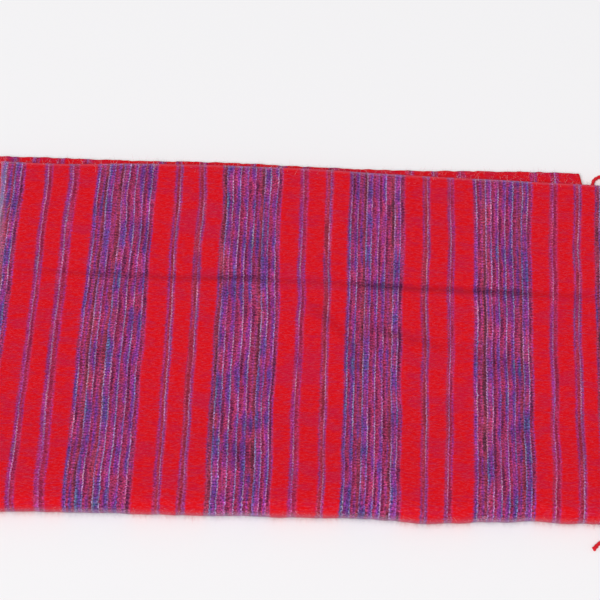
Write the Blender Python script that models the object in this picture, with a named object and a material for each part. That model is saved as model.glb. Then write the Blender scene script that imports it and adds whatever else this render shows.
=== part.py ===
"""A fringed wool blanket, folded.

The cloth is one woven sheet. It is folded crosswise into three panels, back and forth, and then in half
lengthwise, so that its long soft fold lies in front and both selvedges lie at the back. A twisted fringe
hangs from each warp end. X runs along the warp, Y from the front fold to the back, and Z is up.

A place in the cloth has three numbers: x along the warp, height out from the inner face of the half fold,
and way, which is 0 at the selvedge on top, 1 at the selvedge underneath, and between them round the front.
"""

import math

import bpy
import numpy as np

# The sheet and its layers
THICKNESS = 0.0024
LAYER_GAP = 0.0010
LAYER_STEP = THICKNESS + LAYER_GAP
HALF_STACK = 3 * THICKNESS + 2 * LAYER_GAP
PANEL_HEIGHTS = [THICKNESS / 2 + layer * LAYER_STEP for layer in range(3)]

# The half fold: where the top ends, where the underside starts, and how far its two halves stand apart
TOP_END = 0.477
UNDER_START = 0.519
BACK_HALF_GAP = 0.0005
FRONT_HALF_GAP = 0.0040
FRONT_SWELL = 0.10
FRONT_SWELL_X = 9.0
FRONT_SWELL_PHASE = 1.0
RISE_FROM = 0.68

# Loft in the top: how far its panels stand off each other, and the trough of an old crease across it
LOFT = 0.0016
MIDDLE_SHARE = 0.3
SWELL_SHARE = 0.15
SWELL_X = 7.0
SWELL_Y = 11.0
SWELL_PHASE = 0.5
CREASE_DEPTH = 0.0013
CREASE_WIDTH = 0.012
CREASE_AT_ORIGIN = 0.0255
CREASE_SLOPE = -0.032
CREASE_FROM_X = -0.16
CREASE_FADE = 0.06

# How much less far back the inner panel lies on top, and the outer one underneath
TOP_SETBACK = 0.003
UNDER_SETBACK = 0.0145

# How far the free ends sag where they reach past the folds
INNER_SAG = 0.0040
INNER_SAG_FROM_X = -0.371
OUTER_SAG = 0.0025
SAG_LENGTH = 0.025

# Where the panels' folds and ends lie along X, a row for each place on the way round
EDGE_COLUMNS = ("way", "inner_end", "left_fold", "right_fold", "outer_end")
EDGE_ROWS = (
    (0.00, -0.383, -0.3625, 0.338, 0.3600),
    (0.10, -0.385, -0.3560, 0.338, 0.3570),
    (0.30, -0.389, -0.3545, 0.337, 0.3510),
    (0.50, -0.393, -0.3560, 0.334, 0.3460),
    (0.75, -0.394, -0.3620, 0.332, 0.3400),
    (0.96, -0.395, -0.3670, 0.3325, 0.3345),
    (1.00, -0.395, -0.3680, 0.3245, 0.3310),
)

# The long edges as they run along X: the front fold's centre and the two selvedges
LINE_COLUMNS = ("x", "front", "back_top", "back_under")
LINE_ROWS = (
    (-0.40, -0.2590, 0.1700, 0.1822),
    (-0.31, -0.2583, 0.1680, 0.1832),
    (-0.21, -0.2548, 0.1715, 0.1835),
    (-0.10, -0.2530, 0.1745, 0.1858),
    (0.01, -0.2507, 0.1740, 0.1844),
    (0.12, -0.2500, 0.1715, 0.1846),
    (0.21, -0.2466, 0.1695, 0.1878),
    (0.29, -0.2441, 0.1685, 0.1898),
    (0.37, -0.2428, 0.1670, 0.1900),
)

# The mesh
PANEL_STEPS = 13
END_STEPS = 3
FOLD_STEPS = 6
TOP_STEPS = 14
ARC_STEPS = 7
UNDER_STEPS = 8

# The fringe
STRIP_GAP = 0.0003
STRIP_WIDTH = 0.0035
STRAND_LENGTH = 0.088
STRAND_WIDTH = 0.0048
ROOT_WIDTH = 0.0030
ROOT_TAPER = 0.010
STRAND_PITCH = 0.0125
FIRST_ABOVE = 0.5
FIRST_BELOW = 1.0
BACK_MARGIN = 0.25
STRAND_RINGS = (0.07, 0.20, 0.38, 0.60, 0.80, 1.00)
STRAND_CLEARANCE = 0.0003
FINE_STEPS = 60

# How strands lie: where along them they have landed and turned, and the slow waves of their direction
UPPER_LANDING = 0.45
LOWER_LANDING = 0.24
TURNED_BY = 0.45
TURN_BACK = 0.5
SPREAD = 0.02
LEAN_COLUMNS = ("size", "per_metre", "above", "below")
LEAN_WAVES = (
    (0.11, 20.0, 0.6, 2.4),
    (0.04, 49.0, 1.9, 0.0),
)

# Two strands on the right lie out of line, each on a route of its own over the floor: one curls back
# round the front, and the last one swings out at the back.
STRAY_COLUMNS = ("x", "y")
FRONT_STRAY = (
    (0.366, -0.258),
    (0.3765, -0.262),
    (0.378, -0.270),
    (0.367, -0.2765),
    (0.353, -0.2765),
    (0.341, -0.280),
    (0.330, -0.2925),
)
BACK_STRAY = (
    (0.3385, 0.1730),
    (0.3410, 0.1790),
    (0.3425, 0.1850),
    (0.3480, 0.1897),
    (0.3590, 0.1925),
    (0.3770, 0.1920),
    (0.3960, 0.1885),
)

# The fringe of each end: the way it points, the edge and layer it follows, the angle from the top and the
# route of each strand round the front, and the route of the last strand underneath
FRINGES = {
    "fringe_right": {
        "side": 1,
        "end": "outer_end",
        "layer": 2,
        "round_front": ((40, None), (95, FRONT_STRAY)),
        "last": BACK_STRAY,
        "seed": 5,
    },
    "fringe_left": {
        "side": -1,
        "end": "inner_end",
        "layer": 0,
        "round_front": ((90, None),),
        "last": None,
        "seed": 8,
    },
}

RED = (0.6376, 0.0137, 0.0307)
WOOL_ROUGHNESS = 0.95
SHARP_ANGLE = math.radians(50)


def smoothstep(value):
    """0 up to value 0, 1 from value 1, and a soft step between."""
    value = np.clip(value, 0.0, 1.0)
    return value * value * (3 - 2 * value)


def along(columns, rows, name, at):
    """A smooth curve through one column of a table, read at a value of its first column."""
    table = np.array(rows)
    places = table[:, 0]
    values = table[:, columns.index(name)]
    slopes = np.gradient(values, places)
    at = np.clip(at, places[0], places[-1])
    k = np.clip(np.searchsorted(places, at, side="right") - 1, 0, len(places) - 2)
    width = places[k + 1] - places[k]
    share = (at - places[k]) / width
    step = smoothstep(share)
    rise = share * (1 - share) ** 2 * slopes[k] - share**2 * (1 - share) * slopes[k + 1]
    return values[k] * (1 - step) + values[k + 1] * step + width * rise


def edge(name, way):
    """X of a fold or an end at one place on the way round."""
    return along(EDGE_COLUMNS, EDGE_ROWS, name, way)


def line(name, x):
    """Y of the front fold or a selvedge at one x."""
    return along(LINE_COLUMNS, LINE_ROWS, name, x)


def half_gap(x, share):
    """Half the space between the two inner faces, at a share of the way along the top."""
    front = FRONT_HALF_GAP * (1 + FRONT_SWELL * math.sin(FRONT_SWELL_X * x + FRONT_SWELL_PHASE))
    return BACK_HALF_GAP + (front - BACK_HALF_GAP) * smoothstep((share - RISE_FROM) / (1 - RISE_FROM))


def loft(x, y, layer):
    """How far a layer of the top stands off the one below, beyond the plain gap."""
    swell = LOFT * (1 - SWELL_SHARE + SWELL_SHARE * math.sin(SWELL_X * x + SWELL_Y * y + SWELL_PHASE))
    crease_y = CREASE_AT_ORIGIN + CREASE_SLOPE * x
    trough = CREASE_DEPTH * math.exp(-(((y - crease_y) / CREASE_WIDTH) ** 2))
    trough *= smoothstep((x - CREASE_FROM_X) / CREASE_FADE)
    return (swell - trough) * max(layer - 1, 0) + MIDDLE_SHARE * swell * min(layer, 1)


def sag(x, way, on_top):
    """How far the free ends sink where they reach past the folds under them."""
    left = INNER_SAG * smoothstep((INNER_SAG_FROM_X - x) / SAG_LENGTH)
    right = OUTER_SAG * smoothstep((x - edge("right_fold", way)) / SAG_LENGTH)
    return left + right * on_top


def place(x, height, way, middle=None):
    """World point of a place in the cloth. middle is the height of the middle of its layer."""
    middle = height if middle is None else middle
    layer = (middle - PANEL_HEIGHTS[0]) / LAYER_STEP
    front = line("front", x)
    if way >= UNDER_START:
        share = (way - UNDER_START) / (1 - UNDER_START)
        back = line("back_under", x) - UNDER_SETBACK * layer / 2
        return (x, front + (back - front) * share, HALF_STACK - height - sag(x, way, 0.0))
    if way <= TOP_END:
        share = way / TOP_END
        back = line("back_top", x) - TOP_SETBACK * (1 - layer / 2)
        y = back + (front - back) * share
        z = HALF_STACK + 2 * half_gap(x, share) + height + loft(x, y, layer)
        return (x, y, z - sag(x, way, 1.0))
    angle = math.pi * (way - TOP_END) / (UNDER_START - TOP_END)
    on_top = math.cos(angle / 2) ** 2
    inner = half_gap(x, 1.0)
    radius = inner + height + loft(x, front, layer) * on_top
    z = HALF_STACK + inner + radius * math.cos(angle)
    return (x, front - radius * math.sin(angle), z - sag(x, way, on_top))


def turn(fold, side, low, high):
    """Half round of a crosswise fold in (x, height), from one panel to the next."""
    radius = (high - low) / 2
    for k in range(FOLD_STEPS + 1):
        angle = math.pi * k / FOLD_STEPS
        across = side * radius * math.sin(angle)
        yield fold - side * radius + across, low + radius * (1 - math.cos(angle))


def middle_line(way):
    """The middle of the sheet in (x, height), from the inner panel's end to the outer panel's end."""
    low, mid, high = PANEL_HEIGHTS
    radius = LAYER_STEP / 2
    left, right = edge("left_fold", way), edge("right_fold", way)
    shared = np.linspace(left + radius, right - radius, PANEL_STEPS + 1)
    left_end = np.linspace(edge("inner_end", way), INNER_SAG_FROM_X, END_STEPS + 1)
    right_end = np.linspace(right, edge("outer_end", way), END_STEPS + 1)
    points = [(x, low) for x in (*left_end, *shared)]
    points += list(turn(right, 1, low, mid))[1:-1]
    points += [(x, mid) for x in reversed(shared)]
    points += list(turn(left, -1, mid, high))[1:-1]
    points += [(x, high) for x in (*shared, *right_end)]
    return np.array(points)


def both_faces(points):
    """The two faces of the sheet, half its thickness either side of its middle."""
    run = np.gradient(points, axis=0)
    run /= np.linalg.norm(run, axis=1)[:, None]
    normal = np.stack([-run[:, 1], run[:, 0]], axis=1)
    return points + normal * THICKNESS / 2, points - normal * THICKNESS / 2


def stations():
    """The places on the way round where the sheet is cut into sections."""
    top = np.linspace(0, TOP_END, TOP_STEPS + 1)
    arc = np.linspace(TOP_END, UNDER_START, ARC_STEPS + 1)
    under = np.linspace(UNDER_START, 1, UNDER_STEPS + 1)
    return np.concatenate([top, arc[1:], under[1:]])


def section(way):
    """The closed outline of the folded sheet at one place on the way round."""
    points = middle_line(way)
    upper, lower = both_faces(points)
    there = [place(x, h, way, m) for (x, h), m in zip(upper, points[:, 1])]
    back = [place(x, h, way, m) for (x, h), m in zip(lower, points[:, 1])]
    return there + back[::-1]


def cloth_mesh():
    """The whole folded sheet as sections joined round the half fold."""
    outlines = [section(way) for way in stations()]
    size = len(outlines[0])
    faces = []
    for k in range(len(outlines) - 1):
        for i in range(size):
            j = (i + 1) % size
            faces.append((k * size + i, (k + 1) * size + i, (k + 1) * size + j, k * size + j))
    last = (len(outlines) - 1) * size
    for i in range(size // 2 - 1):
        quad = (i, i + 1, size - 2 - i, size - 1 - i)
        faces.append(quad)
        faces.append(tuple(last + corner for corner in reversed(quad)))
    return [point for outline in outlines for point in outline], faces


def depths(fringe):
    """How far the top and the underside of a fringe's own edge reach back from the front fold."""
    x = edge(fringe["end"], 0.5)
    top = line("back_top", x) - TOP_SETBACK * (1 - fringe["layer"] / 2) - line("front", x)
    return top, line("back_under", x) - UNDER_SETBACK * fringe["layer"] / 2 - line("front", x)


def strand_places(fringe):
    """(way, upper, route) of each strand: the row above, those round the front, and the row below."""
    top, under = depths(fringe)
    upper = np.arange(FIRST_ABOVE, top / STRAND_PITCH - BACK_MARGIN) * STRAND_PITCH / top
    lower = np.arange(FIRST_BELOW, under / STRAND_PITCH - BACK_MARGIN) * STRAND_PITCH / under
    arc = UNDER_START - TOP_END
    rows = [(TOP_END * (1 - share), True, None) for share in reversed(upper)]
    rows += [(TOP_END + arc * angle / 180, angle < 90, route) for angle, route in fringe["round_front"]]
    rows += [(UNDER_START + (1 - UNDER_START) * share, False, None) for share in lower]
    rows[-1] = (*rows[-1][:2], fringe["last"])
    return rows


def length_round(fringe, way):
    """Length of the way round a fringe's edge, per unit of way, in the part of the fold that way is in."""
    top, under = depths(fringe)
    if way < TOP_END:
        return top / TOP_END
    if way > UNDER_START:
        return under / (1 - UNDER_START)
    radius = FRONT_HALF_GAP + PANEL_HEIGHTS[fringe["layer"]]
    return math.pi * radius / (UNDER_START - TOP_END)


def lean(y, upper, spare):
    """The direction that a strand settles to, in radians from square."""
    phase = "above" if upper else "below"
    total = SPREAD * spare
    for row in LEAN_WAVES:
        wave = dict(zip(LEAN_COLUMNS, row))
        total += wave["size"] * math.sin(wave["per_metre"] * y + wave[phase])
    return total


def strand_line(root, side, heading, landing, rest):
    """Fine points of a strand's underside, from its root out and down to where it rests."""
    points = [np.array(root)]
    step = STRAND_LENGTH / FINE_STEPS
    for k in range(1, FINE_STEPS + 1):
        share = k / FINE_STEPS
        turned = heading * (smoothstep(share / TURNED_BY) - TURN_BACK * smoothstep(2 * share - 1))
        z = root[2] + (rest - root[2]) * smoothstep(share / landing)
        flat = math.sqrt(max(step**2 - (z - points[-1][2]) ** 2, 0))
        x = points[-1][0] + side * flat * math.cos(turned)
        points.append(np.array((x, points[-1][1] + flat * math.sin(turned), z)))
    return np.array(points)


def stray_line(root, route):
    """Fine points of the underside of a strand that lies along a route of its own on the floor."""
    knots = np.array([root[:2], *route])
    places = np.concatenate([[0], np.cumsum(np.linalg.norm(np.diff(knots, axis=0), axis=1))])
    rows = np.column_stack([places / places[-1], knots])
    columns = ("share", *STRAY_COLUMNS)
    shares = np.linspace(0, 1, FINE_STEPS + 1)
    flat = [[along(columns, rows, name, share) for name in STRAY_COLUMNS] for share in shares]
    return np.column_stack([flat, root[2] * (1 - smoothstep(shares / LOWER_LANDING))])


def strand_rings(fine, side, angle):
    """The square rings of a strand. angle is how far its root is turned round the front fold."""
    level = math.pi / 2 * round(angle / (math.pi / 2))
    up = np.array([0, 0, 1.0])
    rings = []
    for share in STRAND_RINGS:
        k = round(share * FINE_STEPS)
        run = (fine[min(k + 1, FINE_STEPS)] - fine[max(k - 1, 0)])[:2]
        run /= np.linalg.norm(run)
        lateral = side * np.array([-run[1], run[0], 0])
        grown = smoothstep(share * STRAND_LENGTH / ROOT_TAPER)
        half = (ROOT_WIDTH + (STRAND_WIDTH - ROOT_WIDTH) * grown) / 2
        turned = angle + (level - angle) * smoothstep(share / LOWER_LANDING)
        along_edge = -math.cos(turned) * lateral - math.sin(turned) * up
        outward = -math.sin(turned) * lateral + math.cos(turned) * up
        centre = fine[k] + half * up
        corners = ((-1, -1), (-1, 1), (1, 1), (1, -1))
        rings.append([centre + half * (a * along_edge + b * outward) for a, b in corners])
    return rings


def strip_mesh(fringe, rows):
    """The strip beside a warp end, left open on its outer face at each strand, and those openings."""
    near_to_far = (STRIP_GAP, STRIP_GAP + STRIP_WIDTH)
    middle = PANEL_HEIGHTS[fringe["layer"]]
    low, high = middle - THICKNESS / 2, middle + THICKNESS / 2
    cuts = [0.0]
    for way, _, _ in rows:
        half_way = ROOT_WIDTH / 2 / length_round(fringe, way)
        cuts += [way - half_way, way + half_way]
    cuts.append(1.0)
    points = []
    for way in cuts:
        near, far = (edge(fringe["end"], way) + fringe["side"] * out for out in near_to_far)
        points += [place(x, h, way, middle) for x, h in ((near, low), (near, high), (far, high), (far, low))]
    last = len(points) - 4
    faces = [(0, 1, 2, 3), (last + 3, last + 2, last + 1, last)]
    openings = []
    for k in range(len(cuts) - 1):
        a, b = 4 * k, 4 * k + 4
        at_strand = k % 2 == 1
        sides = ((0, 1), (1, 2), (3, 0)) if at_strand else ((0, 1), (1, 2), (2, 3), (3, 0))
        faces += [(a + i, b + i, b + j, a + j) for i, j in sides]
        if at_strand:
            openings.append((a + 3, a + 2, b + 2, b + 3))
    return points, faces, openings


def draw_out(points, faces, ring, rings):
    """Draws a strand out of an opening of the strip, ring by ring, and closes its cut end."""
    for corners in rings:
        start = len(points)
        points.extend(tuple(corner) for corner in corners)
        new = tuple(range(start, start + 4))
        faces += [(ring[i], ring[(i + 1) % 4], new[(i + 1) % 4], new[i]) for i in range(4)]
        ring = new
    faces.append(ring)


def fringe_mesh(fringe):
    """The strip beside one warp end, with its strands drawn out of the strip's outer face."""
    random = np.random.default_rng(fringe["seed"])
    rows = strand_places(fringe)
    points, faces, openings = strip_mesh(fringe, rows)
    for (way, upper, route), ring in zip(rows, openings):
        corners = np.array([points[corner] for corner in ring])
        root = np.array([*corners.mean(axis=0)[:2], corners[:, 2].min()])
        heading = lean(root[1], upper, random.uniform(-1, 1))
        if route:
            fine = stray_line(root, route)
        elif upper:
            fine = strand_line(root, fringe["side"], heading, UPPER_LANDING, STRAND_WIDTH + STRAND_CLEARANCE)
        else:
            fine = strand_line(root, fringe["side"], heading, LOWER_LANDING, 0.0)
        angle = math.pi * np.clip((way - TOP_END) / (UNDER_START - TOP_END), 0, 1)
        draw_out(points, faces, ring, strand_rings(fine, fringe["side"], angle))
    if fringe["side"] < 0:
        faces = [face[::-1] for face in faces]
    return points, faces


def wool(name, colour):
    """Brushed wool: rough all over, with no metal in it."""
    material = bpy.data.materials.new(name)
    material.use_nodes = True
    shader = material.node_tree.nodes["Principled BSDF"]
    shader.inputs["Base Color"].default_value = (*colour, 1)
    shader.inputs["Roughness"].default_value = WOOL_ROUGHNESS
    shader.inputs["Metallic"].default_value = 0.0
    return material


def add(name, points, faces, material, offset):
    """One object, smooth but for its folded-over edges."""
    mesh = bpy.data.meshes.new(name)
    mesh.from_pydata([tuple(np.array(point) - offset) for point in points], [], faces)
    mesh.shade_smooth()
    mesh.set_sharp_from_angle(angle=SHARP_ANGLE)
    mesh.materials.append(material)
    piece = bpy.data.objects.new(name, mesh)
    bpy.context.collection.objects.link(piece)
    return piece


def build():
    """Clears the scene and makes the cloth and its two fringes, centred over the origin on the floor."""
    for piece in list(bpy.data.objects):
        bpy.data.objects.remove(piece)
    meshes = {name: fringe_mesh(fringe) for name, fringe in FRINGES.items()}
    meshes["woven_cloth"] = cloth_mesh()
    every = np.array([point for points, _ in meshes.values() for point in points])
    low, high = every.min(axis=0), every.max(axis=0)
    offset = np.array([(low[0] + high[0]) / 2, (low[1] + high[1]) / 2, 0])
    for name, (points, faces) in meshes.items():
        add(name, points, faces, wool(name + "_wool", RED), offset)


build()
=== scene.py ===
"""A fringed, striped wool blanket, folded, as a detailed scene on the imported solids.

The cloth is folded crosswise into three panels, back and forth, and then in half lengthwise. A place in
it has three numbers: x along the warp, height out from the inner face of the half fold, and way, which
is 0 at the selvedge on top, 1 at the selvedge underneath, and between them round the front. All sizes are
in metres unless a name or a comment says otherwise.
"""

import logging
import math
from collections.abc import Callable, Iterable
from dataclasses import dataclass
from enum import Enum
from functools import partial

import bpy
import numpy as np
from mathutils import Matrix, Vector


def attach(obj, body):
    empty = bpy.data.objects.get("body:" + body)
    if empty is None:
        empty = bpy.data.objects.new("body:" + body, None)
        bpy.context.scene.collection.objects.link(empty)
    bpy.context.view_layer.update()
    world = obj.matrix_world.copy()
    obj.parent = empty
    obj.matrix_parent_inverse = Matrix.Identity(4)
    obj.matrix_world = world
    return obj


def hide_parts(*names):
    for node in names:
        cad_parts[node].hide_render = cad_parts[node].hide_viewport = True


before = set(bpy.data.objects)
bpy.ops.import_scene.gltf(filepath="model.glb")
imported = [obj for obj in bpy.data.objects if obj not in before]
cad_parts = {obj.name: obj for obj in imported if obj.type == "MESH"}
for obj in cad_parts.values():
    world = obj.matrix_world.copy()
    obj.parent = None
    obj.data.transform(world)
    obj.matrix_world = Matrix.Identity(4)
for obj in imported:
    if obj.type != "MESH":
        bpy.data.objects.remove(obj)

LOG = logging.getLogger("blanket")
ROOT = "root"

# The solids' own origin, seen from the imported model's
OWN_ORIGIN = np.array([0.0184, 0.0494, 0.0])

Colour = tuple[float, float, float, float]
Remap = tuple[float, float, float, float]
Route = tuple[tuple[float, float], ...]
Looks = tuple[tuple[float, float | str], ...]
Point = tuple[float, float, float]
Span = tuple[float, float]
Node = bpy.types.Node
Socket = bpy.types.NodeSocket
Tree = bpy.types.NodeTree
Piece = bpy.types.Object
Material = bpy.types.Material
Adder = Callable[..., Node]

# Settings of a node that multiplies two colours
MULTIPLIED = {"data_type": "RGBA", "blend_type": "MULTIPLY"}

# Sets the cords' own turns apart from their other random numbers
TURN_SEED = 100

# Routes of the two strands that lie apart from their row, in the solids' own frame
FRONT_STRAY: Route = (
    (0.366, -0.258), (0.3765, -0.262), (0.378, -0.2665), (0.367, -0.2690),
    (0.353, -0.2690), (0.343, -0.2740), (0.334, -0.2833),
)
BACK_STRAY: Route = (
    (0.3385, 0.1730), (0.3410, 0.1790), (0.3425, 0.1850), (0.3480, 0.1897),
    (0.3590, 0.1925), (0.3770, 0.1920), (0.3960, 0.1885),
)


def linear(code: str) -> Colour:
    """Turns an sRGB hex colour to linear light.

    Args:
        code: six hex digits after a hash.

    Returns:
        Red, green, blue and a full alpha.
    """
    parts = [int(code[k : k + 2], 16) / 255 for k in (1, 3, 5)]
    flat = [part / 12.92 if part <= 0.04045 else ((part + 0.055) / 1.055) ** 2.4 for part in parts]
    return (*flat, 1.0)


def smoothstep(value: np.ndarray) -> np.ndarray:
    """0 up to value 0, 1 from value 1, and a soft step between."""
    value = np.clip(value, 0.0, 1.0)
    return value * value * (3 - 2 * value)


def within(span: Span, value: np.ndarray) -> np.ndarray:
    """0 up to the span's start, 1 from its end, and a soft step between."""
    return smoothstep((value - span[0]) / (span[1] - span[0]))


def set_inputs(tree: Tree, node: Node, inputs: dict[int | str, object] | tuple[object, ...]) -> None:
    """Gives a node its values and its incoming links.

    Args:
        tree: the tree that the node is in.
        node: the node.
        inputs: for each socket, in order, by name or by number, a value, or the node or socket that feeds it.
    """
    for key, value in inputs.items() if isinstance(inputs, dict) else enumerate(inputs):
        named = [socket for socket in node.inputs if socket.name == key and socket.enabled]
        socket = named[0] if named else node.inputs[key]
        if isinstance(value, Node):
            value = next(output for output in value.outputs if output.enabled)
        if isinstance(value, Socket):
            tree.links.new(value, socket)
        else:
            socket.default_value = value


def add_node(tree: Tree, kind: str, inputs: dict | tuple = (), **settings: object) -> Node:
    """Adds one node with its settings, its values and its incoming links.

    Args:
        tree: the tree that the node joins.
        kind: the node's type name.
        inputs: its values and links.
        settings: the node's own properties.

    Returns:
        The new node.
    """
    node = tree.nodes.new(kind)
    for name, value in settings.items():
        setattr(node, name, value)
    set_inputs(tree, node, inputs)
    return node


def set_ramp(node: Node, stops: Iterable[tuple[float, float | str]]) -> None:
    """Gives a colour ramp its stops.

    Args:
        node: the ramp's node.
        stops: the place of each stop, in order, and its hex colour or its plain linear grey.
    """
    stops = list(stops)
    elements = node.color_ramp.elements
    while len(elements) < len(stops):
        elements.new(1.0)
    for element, (place, look) in zip(elements, stops):
        element.position = place
        element.color = linear(look) if isinstance(look, str) else (look, look, look, 1.0)


@dataclass(frozen=True)
class SizeTable:
    """Sizes given at places along an edge, read as a smooth curve."""

    columns: tuple[str, ...]
    rows: tuple[tuple[float, ...], ...]

    def read(self, name: str, at: np.ndarray) -> np.ndarray:
        """Reads one column as a smooth curve.

        Args:
            name: the column.
            at: values of the first column.

        Returns:
            The column's values there.
        """
        table = np.array(self.rows)
        places, values = table[:, 0], table[:, self.columns.index(name)]
        slopes = np.gradient(values, places)
        at = np.clip(at, places[0], places[-1])
        k = np.clip(np.searchsorted(places, at, side="right") - 1, 0, len(places) - 2)
        width = places[k + 1] - places[k]
        share = (at - places[k]) / width
        step = smoothstep(share)
        rise = share * (1 - share) ** 2 * slopes[k] - share**2 * (1 - share) * slopes[k + 1]
        return values[k] * (1 - step) + values[k + 1] * step + width * rise


@dataclass(frozen=True)
class Wave:
    """One slow wave in the cloth, whose crests wander to and fro. Its paces are in radians a metre."""

    size: float
    along: float
    across: float = 0.0
    start: float = 0.0
    wander: float = 0.0
    wander_along: float = 0.0
    wander_across: float = 0.0
    wander_start: float = 0.0

    def height(self, x: np.ndarray, y: np.ndarray | float = 0.0) -> np.ndarray:
        """The wave's height at some places.

        Args:
            x: places along the warp.
            y: places from front to back.

        Returns:
            The heights.
        """
        wandered = np.sin(self.wander_along * x + self.wander_across * y + self.wander_start)
        return self.size * np.sin(self.along * x + self.across * y + self.wander * wandered + self.start)


@dataclass(frozen=True)
class Crease:
    """A crease pressed into the top by an earlier fold: its line, how hard it is pressed and its half width."""

    rows: tuple[Point, ...]
    width: float
    # The cosine of the line's slant
    slant: float = 1.0

    def press_and_shade(self, x: np.ndarray, y: np.ndarray) -> np.ndarray:
        """How hard the crease is pressed at places on the top, which sets both its trough and its painted shade.

        Args:
            x: places along the warp.
            y: places from front to back.

        Returns:
            0 away from the crease, and up to 1 in its middle.
        """
        line = SizeTable(("x", "y", "press_and_shade"), self.rows)
        away = (y - line.read("y", x)) * self.slant
        return line.read("press_and_shade", x) * np.exp(-((away / self.width) ** 2))


@dataclass(frozen=True)
class FoldedShape:
    """The shape of the folded sheet: the solids' own sizes, with the softer relief of real cloth on them."""

    thickness: float = 0.0024
    layer_step: float = 0.0034
    layers: int = 3
    # The half fold: where the top ends and the underside starts, on the way round
    top_end: float = 0.477
    under_start: float = 0.519
    # Half the space between the two halves, at the back and at the front
    back_half_gap: float = 0.0005
    front_half_gap: float = 0.0040
    front_swell: Wave = Wave(0.10, 9.0, start=1.0)
    rise_from: float = 0.68
    # Loft in the top: how far its panels stand off each other
    loft: float = 0.0016
    middle_share: float = 0.3
    swell: Wave = Wave(0.15, 7.0, 11.0, 0.5)
    crease_depth: float = 0.0022
    creases: tuple[Crease, ...] = (
        Crease(
            (
                (-0.350, 0.0259, 0.0), (-0.255, 0.0252, 0.55), (-0.163, 0.0241, 0.60), (-0.099, 0.0257, 0.75),
                (-0.070, 0.0267, 1.0), (-0.041, 0.0257, 0.65), (-0.001, 0.0249, 0.45), (0.045, 0.0244, 0.55),
                (0.074, 0.0231, 0.95), (0.114, 0.0223, 1.0), (0.160, 0.0218, 0.90), (0.206, 0.0213, 1.0),
                (0.252, 0.0208, 0.85), (0.298, 0.0216, 0.45), (0.344, 0.0211, 0.30),
            ),
            0.0046,
        ),
        Crease(((0.005, 0.004, 0.0), (0.022, -0.013, 0.5), (0.047, -0.0345, 0.5), (0.078, -0.069, 0.0)), 0.0065, 0.70),
        Crease(((0.070, -0.029, 0.0), (0.090, -0.035, 0.5), (0.139, -0.0457, 0.45), (0.218, -0.060, 0.0)), 0.0060, 0.97),
    )
    # How much less far back the inner panel lies on top, and the outer one underneath
    top_setback: float = 0.003
    under_setback: float = 0.0145
    # How far the free ends sag where they reach past the folds
    inner_sag: float = 0.0040
    inner_sag_from: float = -0.371
    outer_sag: float = 0.0025
    sag_length: float = 0.025
    ripples: tuple[Wave, ...] = (
        Wave(0.0005, 31.0, 9.0, wander=1.3, wander_across=17.0, wander_start=0.4),
        Wave(0.00035, -12.0, 23.0, 2.1),
        Wave(0.00025, 58.0, -37.0, 0.9),
    )
    front_waves: tuple[Wave, ...] = (
        Wave(0.0005, 83.0, wander=1.4, wander_along=37.0),
        Wave(0.0003, 167.0, wander=2.3, wander_along=53.0, wander_start=1.0),
    )
    selvedge_lumps: tuple[Wave, ...] = (
        Wave(0.0004, 210.0, wander=2.0, wander_along=67.0),
        Wave(0.00032, 433.0, wander=1.7, wander_along=91.0, wander_start=1.0),
    )
    lumps_from: float = 0.93
    # Where the panels' folds and ends lie along x, a row for each place on the way round
    edges: SizeTable = SizeTable(
        ("way", "inner_end", "left_fold", "right_fold", "outer_end"),
        (
            (0.00, -0.383, -0.3625, 0.338, 0.3600),
            (0.10, -0.385, -0.3560, 0.338, 0.3570),
            (0.30, -0.389, -0.3545, 0.337, 0.3510),
            (0.50, -0.393, -0.3560, 0.334, 0.3460),
            (0.75, -0.394, -0.3620, 0.332, 0.3400),
            (0.96, -0.395, -0.3670, 0.3325, 0.3345),
            (1.00, -0.395, -0.3680, 0.3245, 0.3310),
        ),
    )
    # The two selvedges
    backs: SizeTable = SizeTable(
        ("x", "top", "under"),
        (
            (-0.40, 0.1700, 0.1822), (-0.31, 0.1680, 0.1832), (-0.21, 0.1715, 0.1835),
            (-0.10, 0.1745, 0.1858), (0.01, 0.1740, 0.1844), (0.12, 0.1715, 0.1846),
            (0.21, 0.1695, 0.1878), (0.29, 0.1685, 0.1898), (0.37, 0.1670, 0.1900),
        ),
    )
    # The centre of the front fold
    fronts: SizeTable = SizeTable(
        ("x", "y"),
        (
            (-0.400, -0.2590), (-0.310, -0.2573), (-0.250, -0.2549), (-0.219, -0.2546), (-0.190, -0.2540),
            (-0.150, -0.2536), (-0.100, -0.2518), (-0.050, -0.2508), (0.005, -0.2499), (0.035, -0.2487),
            (0.060, -0.2478), (0.085, -0.2478), (0.102, -0.2487), (0.120, -0.2490), (0.155, -0.2507),
            (0.185, -0.2483), (0.205, -0.2462), (0.235, -0.2459), (0.268, -0.2428), (0.300, -0.2433),
            (0.370, -0.2428),
        ),
    )
    # The fold's lower half is pressed out flatter by the weight on it: 1 is round
    front_roundness: float = 0.45

    @property
    def half_stack(self) -> float:
        """Height of the layers of one half."""
        return self.thickness + (self.layers - 1) * self.layer_step

    def panel_height(self, layer: int) -> float:
        """Height of the middle of a layer."""
        return self.thickness / 2 + layer * self.layer_step

    def half_gap(self, x: np.ndarray, share: np.ndarray) -> np.ndarray:
        """Half the space between the two halves' inner faces.

        Args:
            x: places along the warp.
            share: shares of the way along the top, from the back.

        Returns:
            The half gaps.
        """
        front = self.front_half_gap * (1 + self.front_swell.height(x))
        rise = smoothstep((share - self.rise_from) / (1 - self.rise_from))
        return self.back_half_gap + (front - self.back_half_gap) * rise

    def pressed(self, x: np.ndarray, y: np.ndarray) -> np.ndarray:
        """How hard the top is pressed by all the creases at some places, which sets their troughs and their painted
        shade.
        """
        return np.minimum(sum(crease.press_and_shade(x, y) for crease in self.creases), 1)

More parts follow.
